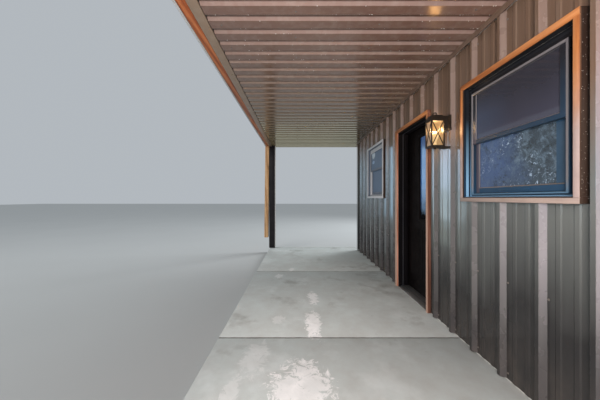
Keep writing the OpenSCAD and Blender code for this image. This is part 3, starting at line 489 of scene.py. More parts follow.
def lamp_glass(name, e0, e1, strength, a0=0.36, a1=0.62):
    """Seeded glass, lit warmly from within."""
    g = Mat(name, rough=0.12, spec=0.5)
    n = g.noise(26, 4, 0.65, dist=0.6)
    g.color(g.mix(n, (0.012, 0.008, 0.004), (0.030, 0.020, 0.010)))
    g.link(g.mix(n, e0, e1), g.b.inputs["Emission Color"])
    g.b.inputs["Emission Strength"].default_value = strength
    g.link(g.rng(n, 0.3, 0.7, a0, a1), g.b.inputs["Alpha"])
    g.bump(n, 0.002, 0.6)
    return g.m


LGLASS = lamp_glass("lantern_pane", (1.0, 0.52, 0.17), (1.0, 0.66, 0.30), 0.44)
# front panes: a paler, dimmer, more opaque copy of the glow, painted light that differs by side
LGLASS_F = lamp_glass("lantern_pane_front", (1.0, 0.66, 0.44), (1.0, 0.80, 0.66), 0.28, 0.66, 0.88)

BULB = Mat("bulb_glow", rough=0.1, color=(1.0, 0.75, 0.4))
_f = BULB.ramp(BULB.noise(40, 2), [(0.3, (1.0, 0.66, 0.30)), (0.7, (1.0, 0.86, 0.56))])
BULB.link(_f, BULB.b.inputs["Emission Color"])
BULB.b.inputs["Emission Strength"].default_value = 1.5
BULB.color(_f)
BULB = BULB.m


# ---------------------------------------------------------------- mesh helpers
def finish_obj(bm, name, mats, body="cabin", repl=(), smooth=32):
    me = bpy.data.meshes.new(name)
    bmesh.ops.recalc_face_normals(bm, faces=bm.faces)
    bm.to_mesh(me)
    bm.free()
    ob = bpy.data.objects.new(name, me)
    scene.collection.objects.link(ob)
    for m in mats if isinstance(mats, (list, tuple)) else [mats]:
        me.materials.append(m)
    if smooth:
        me.shade_smooth()
        me.set_sharp_from_angle(angle=math.radians(smooth))
    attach(ob, body)
    if repl:
        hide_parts(*repl)
    return ob


def box(bm, lo, hi, bev=0.0015, seg=2, mat=0, M=None):
    """A block between two corners with rounded edges, turned by M about the origin."""
    lo, hi = Vector(lo), Vector(hi)
    vs = bmesh.ops.create_cube(bm, size=1.0)["verts"]
    for v in vs:
        v.co = Vector([lo[i] + (v.co[i] + 0.5) * (hi[i] - lo[i]) for i in range(3)])
    faces = list({f for v in vs for f in v.link_faces})
    if bev > 0:
        bev = min(bev, 0.45 * min(abs(hi[i] - lo[i]) for i in range(3)))
        r = bmesh.ops.bevel(bm, geom=list({e for v in vs for e in v.link_edges}), offset=bev, segments=seg, profile=0.5, affect="EDGES")
        faces = list({f for v in r["verts"] for f in v.link_faces} | set(f for f in faces if f.is_valid))
    for f in faces:
        if f.is_valid:
            f.material_index = mat
    if M is not None:
        for v in {v for f in faces if f.is_valid for v in f.verts}:
            v.co = M @ v.co


def prism(bm, rings, mat=0, cap=True, M=None, smooth=True):
    """Skin through rings of equal length; each ring is a list of points."""
    rs = [[bm.verts.new(M @ Vector(p) if M is not None else Vector(p)) for p in r] for r in rings]
    n = len(rs[0])
    for a, b in zip(rs, rs[1:]):
        for i in range(n):
            bm.faces.new((a[i], a[(i + 1) % n], b[(i + 1) % n], b[i])).material_index = mat
    if cap:
        bm.faces.new(rs[0][::-1]).material_index = mat
        bm.faces.new(rs[-1]).material_index = mat


def turned(bm, prof, n=24, mat=0, M=None):
    """A body of revolution about Z; prof is a list of (radius, z), closed at both ends."""
    prism(bm, [[(r * math.cos(2 * math.pi * i / n), r * math.sin(2 * math.pi * i / n), z) for i in range(n)] for r, z in prof], mat, True, M)


def rounded(pts, r=0.003, seg=3, lip=0.0016):
    """The polyline with its inner corners rounded, and a close point either side of each bend."""
    P = [Vector(p) for p in pts]
    out = [P[0]]
    for a, p, b in zip(P, P[1:], P[2:]):
        d1, d2 = (p - a), (b - p)
        l1, l2 = d1.length, d2.length
        d1, d2 = d1 / l1, d2 / l2
        ang = math.acos(max(-1, min(1, d1.dot(d2))))
        if ang < 0.02:
            out.append(p)
            continue
        t = min(r * math.tan(ang / 2) + 1e-5, 0.4 * l1, 0.4 * l2)
        q = min(lip, 0.1 * l1, 0.1 * l2)
        A, C = p - d1 * t, p + d2 * t
        out.append(A - d1 * q)
        for k in range(seg + 1):
            s = k / seg
            out.append(A * (1 - s) ** 2 + p * 2 * s * (1 - s) + C * s * s)
        out.append(C + d2 * q)
    out.append(P[-1])
    return [tuple(v) for v in out]


def rib_path(x0, x1, c):
    pts = [(x0, 0.0)]
    for i in range(math.floor((x0 - c) / PITCH) - 1, math.ceil((x1 - c) / PITCH) + 2):
        for j in range(3):
            m = c + i * PITCH + j * PITCH / 3
            b, t, h = (RIB_B / 2, RIB_T / 2, RIB_H) if j == 0 else (MIN_B / 2, MIN_T / 2, MIN_H)
            if m - b > x0 + 0.001 and m + b < x1 - 0.001:
                pts += [(m - b, 0), (m - t, h), (m + t, h), (m + b, 0)]
    return pts + [(x1, 0.0)]


def ribs_between(x0, x1, c):
    return [c + i * PITCH for i in range(math.floor((x0 - c) / PITCH) - 1, math.ceil((x1 - c) / PITCH) + 2)
            if c + i * PITCH - RIB_B / 2 > x0 + 0.001 and c + i * PITCH + RIB_B / 2 < x1 - 0.001]


def soffit_path(x0, x1):
    pts = [(x0, 0.0)]
    for i in range(math.floor((x0 - S_X) / S_PITCH) - 1, math.ceil((x1 - S_X) / S_PITCH) + 2):
        m, t = S_X + i * S_PITCH, S_TOP / 2
        b = t + S_SLOPE
        if m - b > x0 + 0.001 and m + b < x1 - 0.001:
            pts += [(m - b, 0), (m - t, S_RIB - 0.003), (m + t, S_RIB - 0.003), (m + b, 0)]
    return pts + [(x1, 0.0)]


def folded(bm, path, v0, v1, place, holes=(), th=0.0012, mat=0, cut=None, slope_mat=True):
    """Thin folded sheet: path is (u, h) with u rising, run from v0 to v1 by place(u, h, v).
    holes are (u0, u1, v0, v1). cut(u) gives (low, high) limits of v instead of v0, v1."""
    us = sorted({round(u, 6) for h in holes for u in h[:2]})
    pts = [path[0]]
    for a, b in zip(path, path[1:]):
        for u in us:
            if a[0] + 1e-5 < u < b[0] - 1e-5:
                s = (u - a[0]) / (b[0] - a[0])
                pts.append((u, a[1] + s * (b[1] - a[1])))
        pts.append(b)
    vs = sorted({v0, v1} | {v for h in holes for v in h[2:] if v0 < v < v1})
    n = len(pts)
    nor = []
    for i in range(n):
        a, b = pts[max(i - 1, 0)], pts[min(i + 1, n - 1)]
        d = Vector((b[0] - a[0], b[1] - a[1])).normalized()
        nor.append((-d.y, d.x))
    cell = [[not any(h[0] - 1e-6 <= (pts[i][0] + pts[i + 1][0]) / 2 <= h[1] + 1e-6 and h[2] - 1e-6 <= (vs[j] + vs[j + 1]) / 2 <= h[3] + 1e-6 for h in holes)
             for j in range(len(vs) - 1)] for i in range(n - 1)]
    made = {}

    def vert(i, j, side):
        key = (i, j, side)
        if key not in made:
            u, h = pts[i]
            v = vs[j]
            if cut:
                lo, hi = cut(u)
                v = lo if j == 0 else hi
            if side:
                u, h = u - nor[i][0] * th, h - nor[i][1] * th
            made[key] = bm.verts.new(place(u, h, v))
        return made[key]

    def face(*k):
        f = bm.faces.new([vert(*q) for q in k])
        i0, i1 = min(q[0] for q in k), max(q[0] for q in k)
        du, dh = abs(pts[i1][0] - pts[i0][0]), abs(pts[i1][1] - pts[i0][1])
        # steep faces take the next material, a lighter copy of the paint: painted light on the sloping faces
        f.material_index = mat + (1 if slope_mat and dh > 0.55 * du else 0)

    for i in range(n - 1):
        for j in range(len(vs) - 1):
            if not cell[i][j]:
                continue
            face((i, j, 0), (i + 1, j, 0), (i + 1, j + 1, 0), (i, j + 1, 0))
            face((i, j + 1, 1), (i + 1, j + 1, 1), (i + 1, j, 1), (i, j, 1))
            if i == 0 or not cell[i - 1][j]:
                face((i, j + 1, 0), (i, j + 1, 1), (i, j, 1), (i, j, 0))
            if i == n - 2 or not cell[i + 1][j]:
                face((i + 1, j, 0), (i + 1, j, 1), (i + 1, j + 1, 1), (i + 1, j + 1, 0))
            if j == 0 or not cell[i][j - 1]:
                face((i, j, 0), (i, j, 1), (i + 1, j, 1), (i + 1, j, 0))
            if j == len(vs) - 2 or not cell[i][j + 1]:
                face((i, j + 1, 0), (i + 1, j + 1, 0), (i + 1, j + 1, 1), (i, j + 1, 1))


def screw(bm, p, n, up=(0, 0, 1), s=1.0, mat=0):
    """Hex-head screw with a washer, at p on a surface with outward normal n."""
    n = Vector(n).normalized()
    a = Vector(up).cross(n)
    a = (a if a.length > 1e-3 else Vector((1, 0, 0)).cross(n)).normalized()
    b = n.cross(a)
    M = Matrix(((a.x, b.x, n.x, p[0]), (a.y, b.y, n.y, p[1]), (a.z, b.z, n.z, p[2]), (0, 0, 0, 1)))
    M = M @ Matrix.Rotation(rnd.uniform(0, 1.0), 4, "Z") @ Matrix.Scale(s, 4)
    ring = lambda r, z, k: [(r * math.cos(2 * math.pi * i / k), r * math.sin(2 * math.pi * i / k), z) for i in range(k)]
    prism(bm, [ring(0.0072, 0, 10), ring(0.0070, 0.0012, 10), ring(0.0055, 0.0018, 10)], mat, True, M)
    prism(bm, [ring(0.0043, 0.0016, 6), ring(0.0043, 0.0050, 6), ring(0.0034, 0.0060, 6)], mat, True, M)


def sweep_rect(bm, x0, x1, z0, z1, prof, place, wl=1.0, wr=1.0, wb=1.0, wt=1.0, mat=0, mats=None):
    """A mitred frame: prof is a closed list of (inset, depth) carried round the rectangle."""
    loops = []
    for d, y in prof:
        loops.append([bm.verts.new(place(x, y, z)) for x, z in
                      ((x0 + d * wl, z0 + d * wb), (x1 - d * wr, z0 + d * wb), (x1 - d * wr, z1 - d * wt), (x0 + d * wl, z1 - d * wt))])
    n = len(prof)
    for k in range(n):
        a, b = loops[k], loops[(k + 1) % n]
        for i in range(4):
            f = bm.faces.new((a[i], a[(i + 1) % 4], b[(i + 1) % 4], b[i]))
            f.material_index = mats[k] if mats else mat


def from_node(node, name, mats, bev=0.0015, seg=2, body="cabin", angle=25, smooth=32):
    """A copy of a CAD node's shape with its hard edges rounded, shown in its place."""
    src = frame["nodes"][node]
    bm = bmesh.new()
    bm.from_mesh(src.data)
    bmesh.ops.remove_doubles(bm, verts=bm.verts, dist=1e-5)
    bmesh.ops.dissolve_limit(bm, angle_limit=math.radians(1), verts=bm.verts, edges=bm.edges)
    es = [e for e in bm.edges if len(e.link_faces) == 2 and e.calc_face_angle(0) > math.radians(angle)]
    if bev > 0:
        bmesh.ops.bevel(bm, geom=es, offset=bev, segments=seg, profile=0.5, affect="EDGES", clamp_overlap=True)
    for f in bm.faces:
        f.material_index = 0
    return finish_obj(bm, name, mats, body, (node,), smooth)


def paint_node(node, mat):
    o = frame["nodes"][node]
    o.data.materials.clear()
    o.data.materials.append(mat)


# ---------------------------------------------------------------- stage, camera, light
bm = bmesh.new()
bmesh.ops.create_grid(bm, x_segments=1, y_segments=1, size=60)
me = bpy.data.meshes.new("stage_floor")
bm.to_mesh(me)
bm.free()
floor = bpy.data.objects.new("stage_floor", me)
scene.collection.objects.link(floor)
fm = Mat("stage_floor_pale", rough=0.95, spec=0.0)
fm.color(fm.mix(fm.noise(0.6, 3), (0.60, 0.61, 0.60), (0.64, 0.65, 0.64)))
me.materials.append(fm.m)

cam_d = bpy.data.cameras.new("camera")
cam = bpy.data.objects.new("camera", cam_d)
scene.collection.objects.link(cam)
cam.location = (3.28, FRONT - 1.377, SLAB + 1.198)
cam.rotation_euler = (math.radians(90), 0, math.radians(90))
cam_d.sensor_width = 36
cam_d.lens = 276 / 600 * 36
cam_d.shift_x = 1.5 / 600
cam_d.shift_y = -2.0 / 600
cam_d.clip_start = 0.02
cam_d.clip_end = 200
cam_d.dof.use_dof = False
scene.camera = cam

world = bpy.data.worlds.new("studio")
scene.world = world
world.use_nodes = True
bg = world.node_tree.nodes["Background"]
bg.inputs[0].default_value = (0.80, 0.86, 0.92, 1)
bg.inputs[1].default_value = 0.56


def area(name, loc, aim, size, power, color=(1, 1, 1), size_y=None):
    d = bpy.data.lights.new(name, "AREA")
    d.energy = power
    d.color = color
    d.size = size
    if size_y:
        d.shape = "RECTANGLE"
        d.size_y = size_y
    o = bpy.data.objects.new(name, d)
    scene.collection.objects.link(o)
    o.location = loc
    o.rotation_euler = (Vector(aim) - Vector(loc)).to_track_quat("-Z", "Y").to_euler()
    o.visible_camera = False
    return o


area("key", (9.5, -9.0, 8.0), (0, 0, 1.2), 7.0, 560, (1.0, 0.97, 0.93))
near = area("near_end", (4.10, -1.70, 1.60), (0, -1.2, 1.9), 1.0, 122, (1.0, 0.92, 0.89), 0.7)
near.visible_glossy = False
far = area("far_end", (-9.0, -1.6, 3.4), (-1.5, -1.2, 0.6), 4.0, 90, (0.95, 1.0, 0.97), 2.0)
far.visible_glossy = False
# tall panels that show only as a sheen on the front wall and the door glass
SHEEN = bpy.data.collections.new("sheen_receivers")
for nm, lo_c, hi_c, yy, rad, col in (("sheen_far", (-14.2, 0.2), (-6.6, 4.6), -4.4, 2.0, (0.42, 0.72, 1.0)),
                                     ("sheen_mid", (-0.8, 1.3), (4.0, 3.3), -4.4, 6.0, (0.50, 0.78, 1.0)),
                                     ("sheen_near", (-3.33, 1.50), (-2.20, 2.42), -2.1, 5.0, (0.62, 0.79, 1.0)),
                                     ("sheen_step", (-3.33, 0.86), (-2.20, 1.50), -2.1, 2.9, (0.66, 0.86, 0.94)),
                                     ("sheen_low", (-3.33, 0.30), (-2.20, 0.86), -2.1, 0.9, (0.70, 0.92, 0.86))):
    w_, h_ = hi_c[0] - lo_c[0], hi_c[1] - lo_c[1]
    cx_, cz_ = (lo_c[0] + hi_c[0]) / 2, (lo_c[1] + hi_c[1]) / 2
    pan = area(nm, (cx_, yy, cz_), (cx_, 0.0, cz_), w_, rad * math.pi * w_ * h_, col, h_)
    pan.visible_diffuse = False
    pan.light_linking.receiver_collection = SHEEN
for nm, z0_, z1_, rad, col in (("sheen_back_high", 1.5, 3.4, 4.6, (0.46, 0.60, 1.0)), ("sheen_back_low", -0.5, 1.5, 4.6, (0.98, 0.80, 1.0))):
    pan = area(nm, (4.6, -1.15, (z0_ + z1_) / 2), (0.0, -1.15, (z0_ + z1_) / 2), 1.1, rad * math.pi * 1.1 * (z1_ - z0_), col, z1_ - z0_)
    pan.visible_diffuse = False
    pan.light_linking.receiver_collection = SHEEN
area("back_fill", (-8.0, 8.0, 7.0), (0, 1.0, 1.0), 7.0, 900, (0.92, 0.96, 1.0))

scene.view_settings.view_transform = "Standard"
scene.view_settings.look = "None"
scene.view_settings.exposure = 0.0
scene.cycles.use_denoising = True

# ---------------------------------------------------------------- slabs and floor
from_node("porch_slab", "porch_floor_slab", CONC, bev=0.0025, seg=2)
from_node("cabin_slab", "cabin_floor_slab", CONC2, bev=0.004)

bm = bmesh.new()
lo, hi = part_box("floor_finish")
y, row = lo.y, 0
while y < hi.y - 0.01:
    y2 = min(y + 0.178, hi.y)
    x = lo.x
    first = 0.45 + 0.75 * ((row * 0.37) % 1)
    while x < hi.x - 0.01:
        x2 = min(x + (first if x == lo.x else 1.22), hi.x)
        box(bm, (x + 0.0004, y + 0.0004, lo.z), (x2 - 0.0004, y2 - 0.0004, hi.z), 0.0012, 1)
        x = x2
    y, row = y2, row + 1
finish_obj(bm, "floor_plank_boards", PLANK, repl=("floor_finish",))

for n in ("front_wall_right", "front_wall_left", "front_wall_over_door", "rear_wall", "left_end_wall", "right_end_wall", "ceiling"):
    paint_node(n, INNER)
paint_node("porch_beam", STEEL)
paint_node("roof_trusses", FR_W)

# ---------------------------------------------------------------- ribbed cladding
SH = 0.0015                                   # the flat's outer face stands on the CAD flat


def front_place(u, h, v):
    return Vector((u, FRONT - h, v))


def rear_place(u, h, v):
    return Vector((-u, REAR + h, v))


def right_place(u, h, v):
    return Vector((HL + h, (FRONT + REAR) / 2 + u, v))


def left_place(u, h, v):
    return Vector((-HL - h, (FRONT + REAR) / 2 - u, v))


wz0, wz1 = SLAB + WIN_Z, SLAB + WIN_Z + WIN_H
front_holes = [(WIN_R - WIN_W / 2, WIN_R + WIN_W / 2, wz0, wz1), (WIN_L - WIN_W / 2, WIN_L + WIN_W / 2, wz0 + WIN_UP, wz1 + WIN_UP),
               (DOOR_X - DOOR_W / 2 + DTRIM - DTRIM_L, DOOR_X + DOOR_W / 2, 0, SLAB + DOOR_H)]
rear_holes = [(-WIN_R - WIN_W / 2, -WIN_R + WIN_W / 2, wz0, wz1), (-WIN_L - WIN_W / 2, -WIN_L + WIN_W / 2, wz0, wz1)]


def clad(name, node, x0, x1, c, z0, z1, place, holes, normal, cols=("low", "mid")):
    bm = bmesh.new()
    folded(bm, rounded(rib_path(x0, x1, c)), z0, z1, place, holes, 0.0014)
    ob = finish_obj(bm, name, [WALL, WALL_SLOPE_LIT], repl=(node,), smooth=30)
    if node == "front_cladding":
        SHEEN.objects.link(ob)
    bm = bmesh.new()
    for m in ribs_between(x0, x1, c):
        for zz in (0.17, 0.76, 1.37, 1.98, 2.50):
            for u in (m + 0.043,):
                if any(h[0] - 0.012 < u < h[1] + 0.012 and h[2] - 0.012 < zz < h[3] + 0.012 for h in holes):
                    continue
                if not x0 + 0.02 < u < x1 - 0.02:
                    continue
                screw(bm, place(u + rnd.uniform(-0.002, 0.002), 0.0, zz + rnd.uniform(-0.006, 0.006)), normal)
    finish_obj(bm, name + "_screws", SCREW)


clad("front_ribbed_sheet", "front_cladding", -HL, HL, RIB_X, SLAB + 0.008, SOF - 0.004, front_place, front_holes, (0, -1, 0))
clad("rear_ribbed_sheet", "rear_cladding", -HL, HL, -RIB_X, SLAB - 0.03, SOF - 0.004, rear_place, rear_holes, (0, 1, 0))
hd = (REAR - FRONT) / 2 - 0.003
clad("right_end_ribbed_sheet", "right_end_cladding", -hd, hd, PITCH / 2, SLAB - 0.03, SOF - 0.004, right_place, [], (1, 0, 0))
clad("left_end_ribbed_sheet", "left_end_cladding", -hd, hd, PITCH / 2, SLAB - 0.03, SOF - 0.004, left_place, [], (-1, 0, 0))

# corner angles with a rounded fold and hemmed edges
bm = bmesh.new()
for sx in (-1, 1):
    for e in (0, 1):
        y0, sy = (FRONT, -1) if e == 0 else (REAR, 1)
        z0 = SLAB + 0.008 if e == 0 else SLAB - 0.03
        R = RIB_H + 0.001
        pts = [(-0.090, R - 0.006), (-0.088, R), (-0.02, R), (R, R), (R, -0.02), (R, -0.088), (R - 0.006, -0.090)]
        path = rounded(pts, 0.004, 3)
        t = 0.0014
        ring = []
        inner = []
        for i, p in enumerate(path):
            a, b = Vector(path[max(i - 1, 0)]), Vector(path[min(i + 1, len(path) - 1)])
            d = (b - a).normalized()
            inner.append((p[0] - (-d.y) * t * -1 * -1, p[1] - d.x * t))
            ring.append(p)
        loop = ring + inner[::-1]
        place = lambda p, z: (sx * (HL + p[0]), y0 + sy * p[1], z)
        prism(bm, [[place(p, z0) for p in loop], [place(p, SOF - 0.004) for p in loop]])
finish_obj(bm, "corner_angles", WALL, repl=("corner_trims",), smooth=30)

from_node("wall_head_trim", "wall_head_angle", HEAD, bev=0.0006, seg=2)

# ---------------------------------------------------------------- soffits
def soffit_place(u, h, v):
    return Vector((u, v, SOF + h))


px0, px1 = POST_X - POST_W / 2 - 0.001, POST_X + POST_W / 2 + 0.001
py0, py1 = FRONT - POST_OUT - 0.001, FRONT - POST_OUT + POST_W + 0.001
bm = bmesh.new()
folded(bm, [(u, h) for u, h in rounded(soffit_path(-3.465, 3.465))], FRONT - 2.014, FRONT - 0.001, lambda u, h, v: soffit_place(u, h, v),
       [(px0, px1, py0, py1), (-px1, -px0, py0, py1)], -0.0012)
finish_obj(bm, "porch_soffit_sheet", [SOFFIT, SOFFIT_SLOPE_LIT], repl=("porch_soffit",), smooth=30)

bm = bmesh.new()
for x0, x1, y0, y1 in ((-3.465, -HL - 0.004, FRONT + 0.001, REAR + 0.128), (HL + 0.004, 3.465, FRONT + 0.001, REAR + 0.128), (-HL, HL, REAR + 0.004, REAR + 0.128)):
    folded(bm, rounded(soffit_path(x0, x1)), y0, y1, soffit_place, [], -0.0012)
finish_obj(bm, "cabin_soffit_sheets", [SOFFIT, SOFFIT_SLOPE_LIT], repl=("cabin_soffits",), smooth=30)

bm = bmesh.new()
k = 0
for i in range(-40, 20):
    xf = S_X + (i + 0.5) * S_PITCH
    if not -3.44 < xf < 3.44:
        continue
    k += 1
    for yy in (-2.16, -1.62, -1.02, -0.42):
        if abs(abs(xf) - POST_X) < 0.09 and yy < -2.0:
            continue
        if (k + (0 if yy in (-2.16, -1.02) else 1)) % 2 == 0:
            screw(bm, (xf + rnd.uniform(-0.01, 0.01), yy + rnd.uniform(-0.006, 0.006), SOF), (0, 0, -1), up=(1, 0, 0), s=0.9)
finish_obj(bm, "soffit_screws", SCREW)



def tuft(bm, p, n, r, mat=0):
    """A small uneven lump of dust stuck on a surface with outward normal n."""
    n = Vector(n).normalized()
    a = n.orthogonal().normalized()
    b = n.cross(a)
    k, rings = 6, []
    for h, w in ((-0.15, 0.9), (0.25, 1.0), (0.6, 0.6), (0.8, 0.15)):
        rings.append([Vector(p) + (a * math.cos(6.283 * i / k) + b * math.sin(6.283 * i / k)) * (r * w * rnd.uniform(0.6, 1.2)) + n * (r * h) for i in range(k)])
    prism(bm, rings, mat)


bm = bmesh.new()
for i in range(-40, 20):
    xf = S_X + i * S_PITCH
    if not -3.3 < xf < 3.44:
        continue
    for _ in range(26):
        e = xf + rnd.choice((1, 1, -1)) * (S_TOP / 2 + S_SLOPE) + rnd.uniform(-0.003, 0.003)
        yy = -0.26 - 1.92 * rnd.random() ** 1.5
        tuft(bm, (e, yy, SOF + 0.0004), (0, 0, -1), rnd.choice((0.0016, 0.0022, 0.0030, 0.0042)))
finish_obj(bm, "soffit_dust", DUST, smooth=60)

from_node("soffit_trim", "soffit_edge_band", BAND, bev=0.0012)

# ---------------------------------------------------------------- timber edge, posts
def boards_along_x(name, lo, hi, joints, mat, repl, bev=0.003):
    bm = bmesh.new()
    xs = [lo[0]] + list(joints) + [hi[0]]
    for a, b in zip(xs, xs[1:]):
        box(bm, (a + 0.0006, lo[1], lo[2]), (b - 0.0006, hi[1], hi[2]), bev, 3)
    return finish_obj(bm, name, mat, repl=(repl,))


lo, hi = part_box("porch_edge_timber")
boards_along_x("porch_edge_timber_beam", lo, hi, (-1.10, 1.95), ST_X, "porch_edge_timber", 0.004)
lo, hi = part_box("rear_fascia")
boards_along_x("rear_fascia_boards", lo, hi, (-1.2, 1.2), ST_X, "rear_fascia", 0.003)
from_node("porch_posts", "black_posts", BLACK_Z, bev=0.006, seg=3)
from_node("post_boards", "post_side_boards", PB_Z, bev=0.003, seg=2)
from_node("post_edge_strips", "post_pale_strips", EDGE, bev=0.001, seg=2)

# ---------------------------------------------------------------- roof
ca, sa = math.cos(math.atan(RISE)), math.sin(math.atan(RISE))


def slope_place(sgn):
    def place(u, h, v):
        # v is the horizontal distance from the ridge
        return Vector((u * (1 if sgn < 0 else -1), sgn * v + 0.0, roof_z(v) + (0.003 + h) / ca))
    return place


for sgn, name, node in ((-1, "roof_ribbed_sheet_front", "roof_sheet_front"), (1, "roof_ribbed_sheet_rear", "roof_sheet_rear")):
    bm = bmesh.new()
    folded(bm, rounded(rib_path(-ROOF_L, ROOF_L, 0)), 0.001, ROOF_HALF, slope_place(sgn), [], 0.0014)
    finish_obj(bm, name, [ROOF, ROOF], repl=(node,), smooth=30)
bm = bmesh.new()
for sgn in (-1, 1):
    nn = Vector((0, sgn * sa, ca))
    for m in ribs_between(-ROOF_L, ROOF_L, 0):
        for v in (0.24, 0.80, 1.36, 1.92, 2.39):
            p = slope_place(sgn)(m + 0.043, 0.0, v)
            screw(bm, p, nn, up=(1, 0, 0))
finish_obj(bm, "roof_screws", SCREW_R)
from_node("ridge_cap", "ridge_cap_fold", ROOF, bev=0.001)
from_node("roof_edge_trim", "roof_edge_folds", EDGE, bev=0.0008)

bm = bmesh.new()
for s in (-1, 1):
    def gable_place(u, h, v, s=s):
        return Vector((s * (3.470 + h), u * s, v))
    y0, y1 = (CEDAR_OUT + 0.100, -CEDAR_OUT - 0.040) if s > 0 else (CEDAR_OUT + 0.040, -CEDAR_OUT - 0.100)
    folded(bm, rounded(rib_path(y0, y1, 0)), WALL_TOP + 0.001, 3.3, gable_place, [], 0.0014,
           cut=lambda u: (WALL_TOP + 0.001, roof_z(u) - 0.002))
finish_obj(bm, "gable_ribbed_sheets", [WALL, WALL_SLOPE_LIT], repl=("gable_cladding",), smooth=30)

# ---------------------------------------------------------------- windows
def win_place(cx, rear=False, up=0.0):
    if rear:
        return lambda x, y, z: Vector((cx - x, REAR - y, SLAB + WIN_Z + z))
    return lambda x, y, z: Vector((cx + x, FRONT + y, SLAB + WIN_Z + up + z))


def boxp(bm, place, lo, hi, bev=0.0015, seg=2, mat=0):
    a, b = place(*lo), place(*hi)
    box(bm, [min(a[i], b[i]) for i in range(3)], [max(a[i], b[i]) for i in range(3)], bev, seg, mat)


def window_trim(bm, place, y0=-TRIM_D, y1=0.003, bev=0.002, ws=TRIM_W, wb=TRIM_W, wt=TRIM_W):
    W, H = WIN_W / 2, WIN_H
    e = 0.0005
    boxp(bm, place, (-W, y0, H - wt), (W, y1, H), bev, 2, 0)
    boxp(bm, place, (-W, y0, 0), (W, y1, wb), bev, 2, 0)
    boxp(bm, place, (-W, y0, wb + e), (-W + ws, y1, H - wt - e), bev, 2, 1)
    boxp(bm, place, (W - ws, y0, wb + e), (W, y1, H - wt - e), bev, 2, 1)


def sides(bm, k):
    """Faces that look along X get material k: a separate copy of the wood whose lighter and darker tones are painted
    light and painted shade on the boards' side faces.
    """
    bm.normal_update()
    for f in bm.faces:
        if abs(f.normal.x) > 0.85:
            f.material_index = k


def window_frame(bm, place, lip_mat, edge_mat=0):
    W, H, t = WIN_W / 2 - TRIM_W - 0.001, WIN_H - 2 * TRIM_W - 0.002, TRIM_W + 0.001
    # outer channel: a dark flat with a shallow groove and a raised outer edge; on the dark frames the raised edge is
    # painted pale blue low down as a sky reflection
    prof = [(0, 0.070), (0, 0.002), (0.004, 0.002), (0.006, 0.006), (0.011, 0.006), (0.0125, 0.002), (0.024, 0.002), (0.0255, 0.006),
            (0.040, 0.006), (0.042, 0.003), (0.048, 0.002), (0.050, 0.004), (0.050, 0.070)]
    prof = [(d / 0.050, y) for d, y in prof]
    sweep_rect(bm, -W, W, t, t + H, prof, place, 0.050, 0.050, 0.014, 0.056, 0, [0, 0, 0, 0, 0, edge_mat, edge_mat, 0, 0, 0, 0, 0, 0])
    # raised lip round the sashes; on the dark frames its front is painted grey as a sheen
    x, z0, z1 = W - 0.050, t + 0.014, t + H - 0.056
    lip = [(0, 0.060), (0, -0.013), (0.12, -0.016), (0.80, -0.016), (0.90, -0.0145), (0.92, -0.008), (1.0, -0.007), (1.0, 0.060)]
    sweep_rect(bm, -x, x, z0, z1, lip, place, 0.020, 0.020, 0.012, 0.016, 0, [0, 0, lip_mat, lip_mat, lip_mat, 0, 0, 0])


def window_sashes(bm, place, bead, up_by=0.0):
    iw = WIN_W - 2 * TRIM_W - 0.144
    z0 = TRIM_W + 0.028
    ih = WIN_H - TRIM_W - 0.074 - z0
    mid = 1.631 + up_by - WIN_Z - z0
    # upper sash: two stiles and the meeting rail, with a bead round the glass
    up = [(0, 0.010), (0, -0.012), (0.06, -0.014), (0.80, -0.014), (0.84, -0.0125), (0.94, -0.0085), (1.0, -0.0075), (1.0, 0.010)]
    sweep_rect(bm, -iw / 2, iw / 2, z0 + mid - 0.017, z0 + ih - 0.001, up, place, 0.036, 0.036, 0.034, 0.004, 0, [0, 0, 0, 0, bead, bead, 0, 0])
    lowp = [(0, 0.038), (0, 0.014), (0.06, 0.012), (0.80, 0.012), (0.84, 0.0135), (0.94, 0.018), (1.0, 0.019), (1.0, 0.038)]
    sweep_rect(bm, -iw / 2, iw / 2, z0 + 0.001, z0 + mid + 0.016, lowp, place, 0.036, 0.036, 0.044, 0.031, 0, [0, 0, 0, 0, bead, bead, 0, 0])
    # lift rail and the lock on the meeting rail
    boxp(bm, place, (-0.13, 0.006, z0 + 0.014), (0.13, 0.013, z0 + 0.024), 0.001, 2, 0)
    boxp(bm, place, (-0.028, 0.004, z0 + mid + 0.0165), (0.028, 0.030, z0 + mid + 0.026), 0.002, 2, 0)


def window_panes(bm, place, up=0, low=1, up_by=0.0):
    iw = WIN_W - 2 * TRIM_W - 0.144
    z0 = TRIM_W + 0.028
    ih = WIN_H - TRIM_W - 0.074 - z0
    mid = 1.631 + up_by - WIN_Z - z0
    boxp(bm, place, (-iw / 2 + 0.0355, -0.006, z0 + mid + 0.0165), (iw / 2 - 0.0355, 0.000, z0 + ih - 0.002), 0.0004, 1, up)
    boxp(bm, place, (-iw / 2 + 0.0355, 0.020, z0 + 0.0445), (iw / 2 - 0.0355, 0.026, z0 + mid - 0.0145), 0.0004, 1, low)


R_P, L_P = win_place(WIN_R), win_place(WIN_L, up=WIN_UP)
RR_P, RL_P = win_place(WIN_R, True), win_place(WIN_L, True)

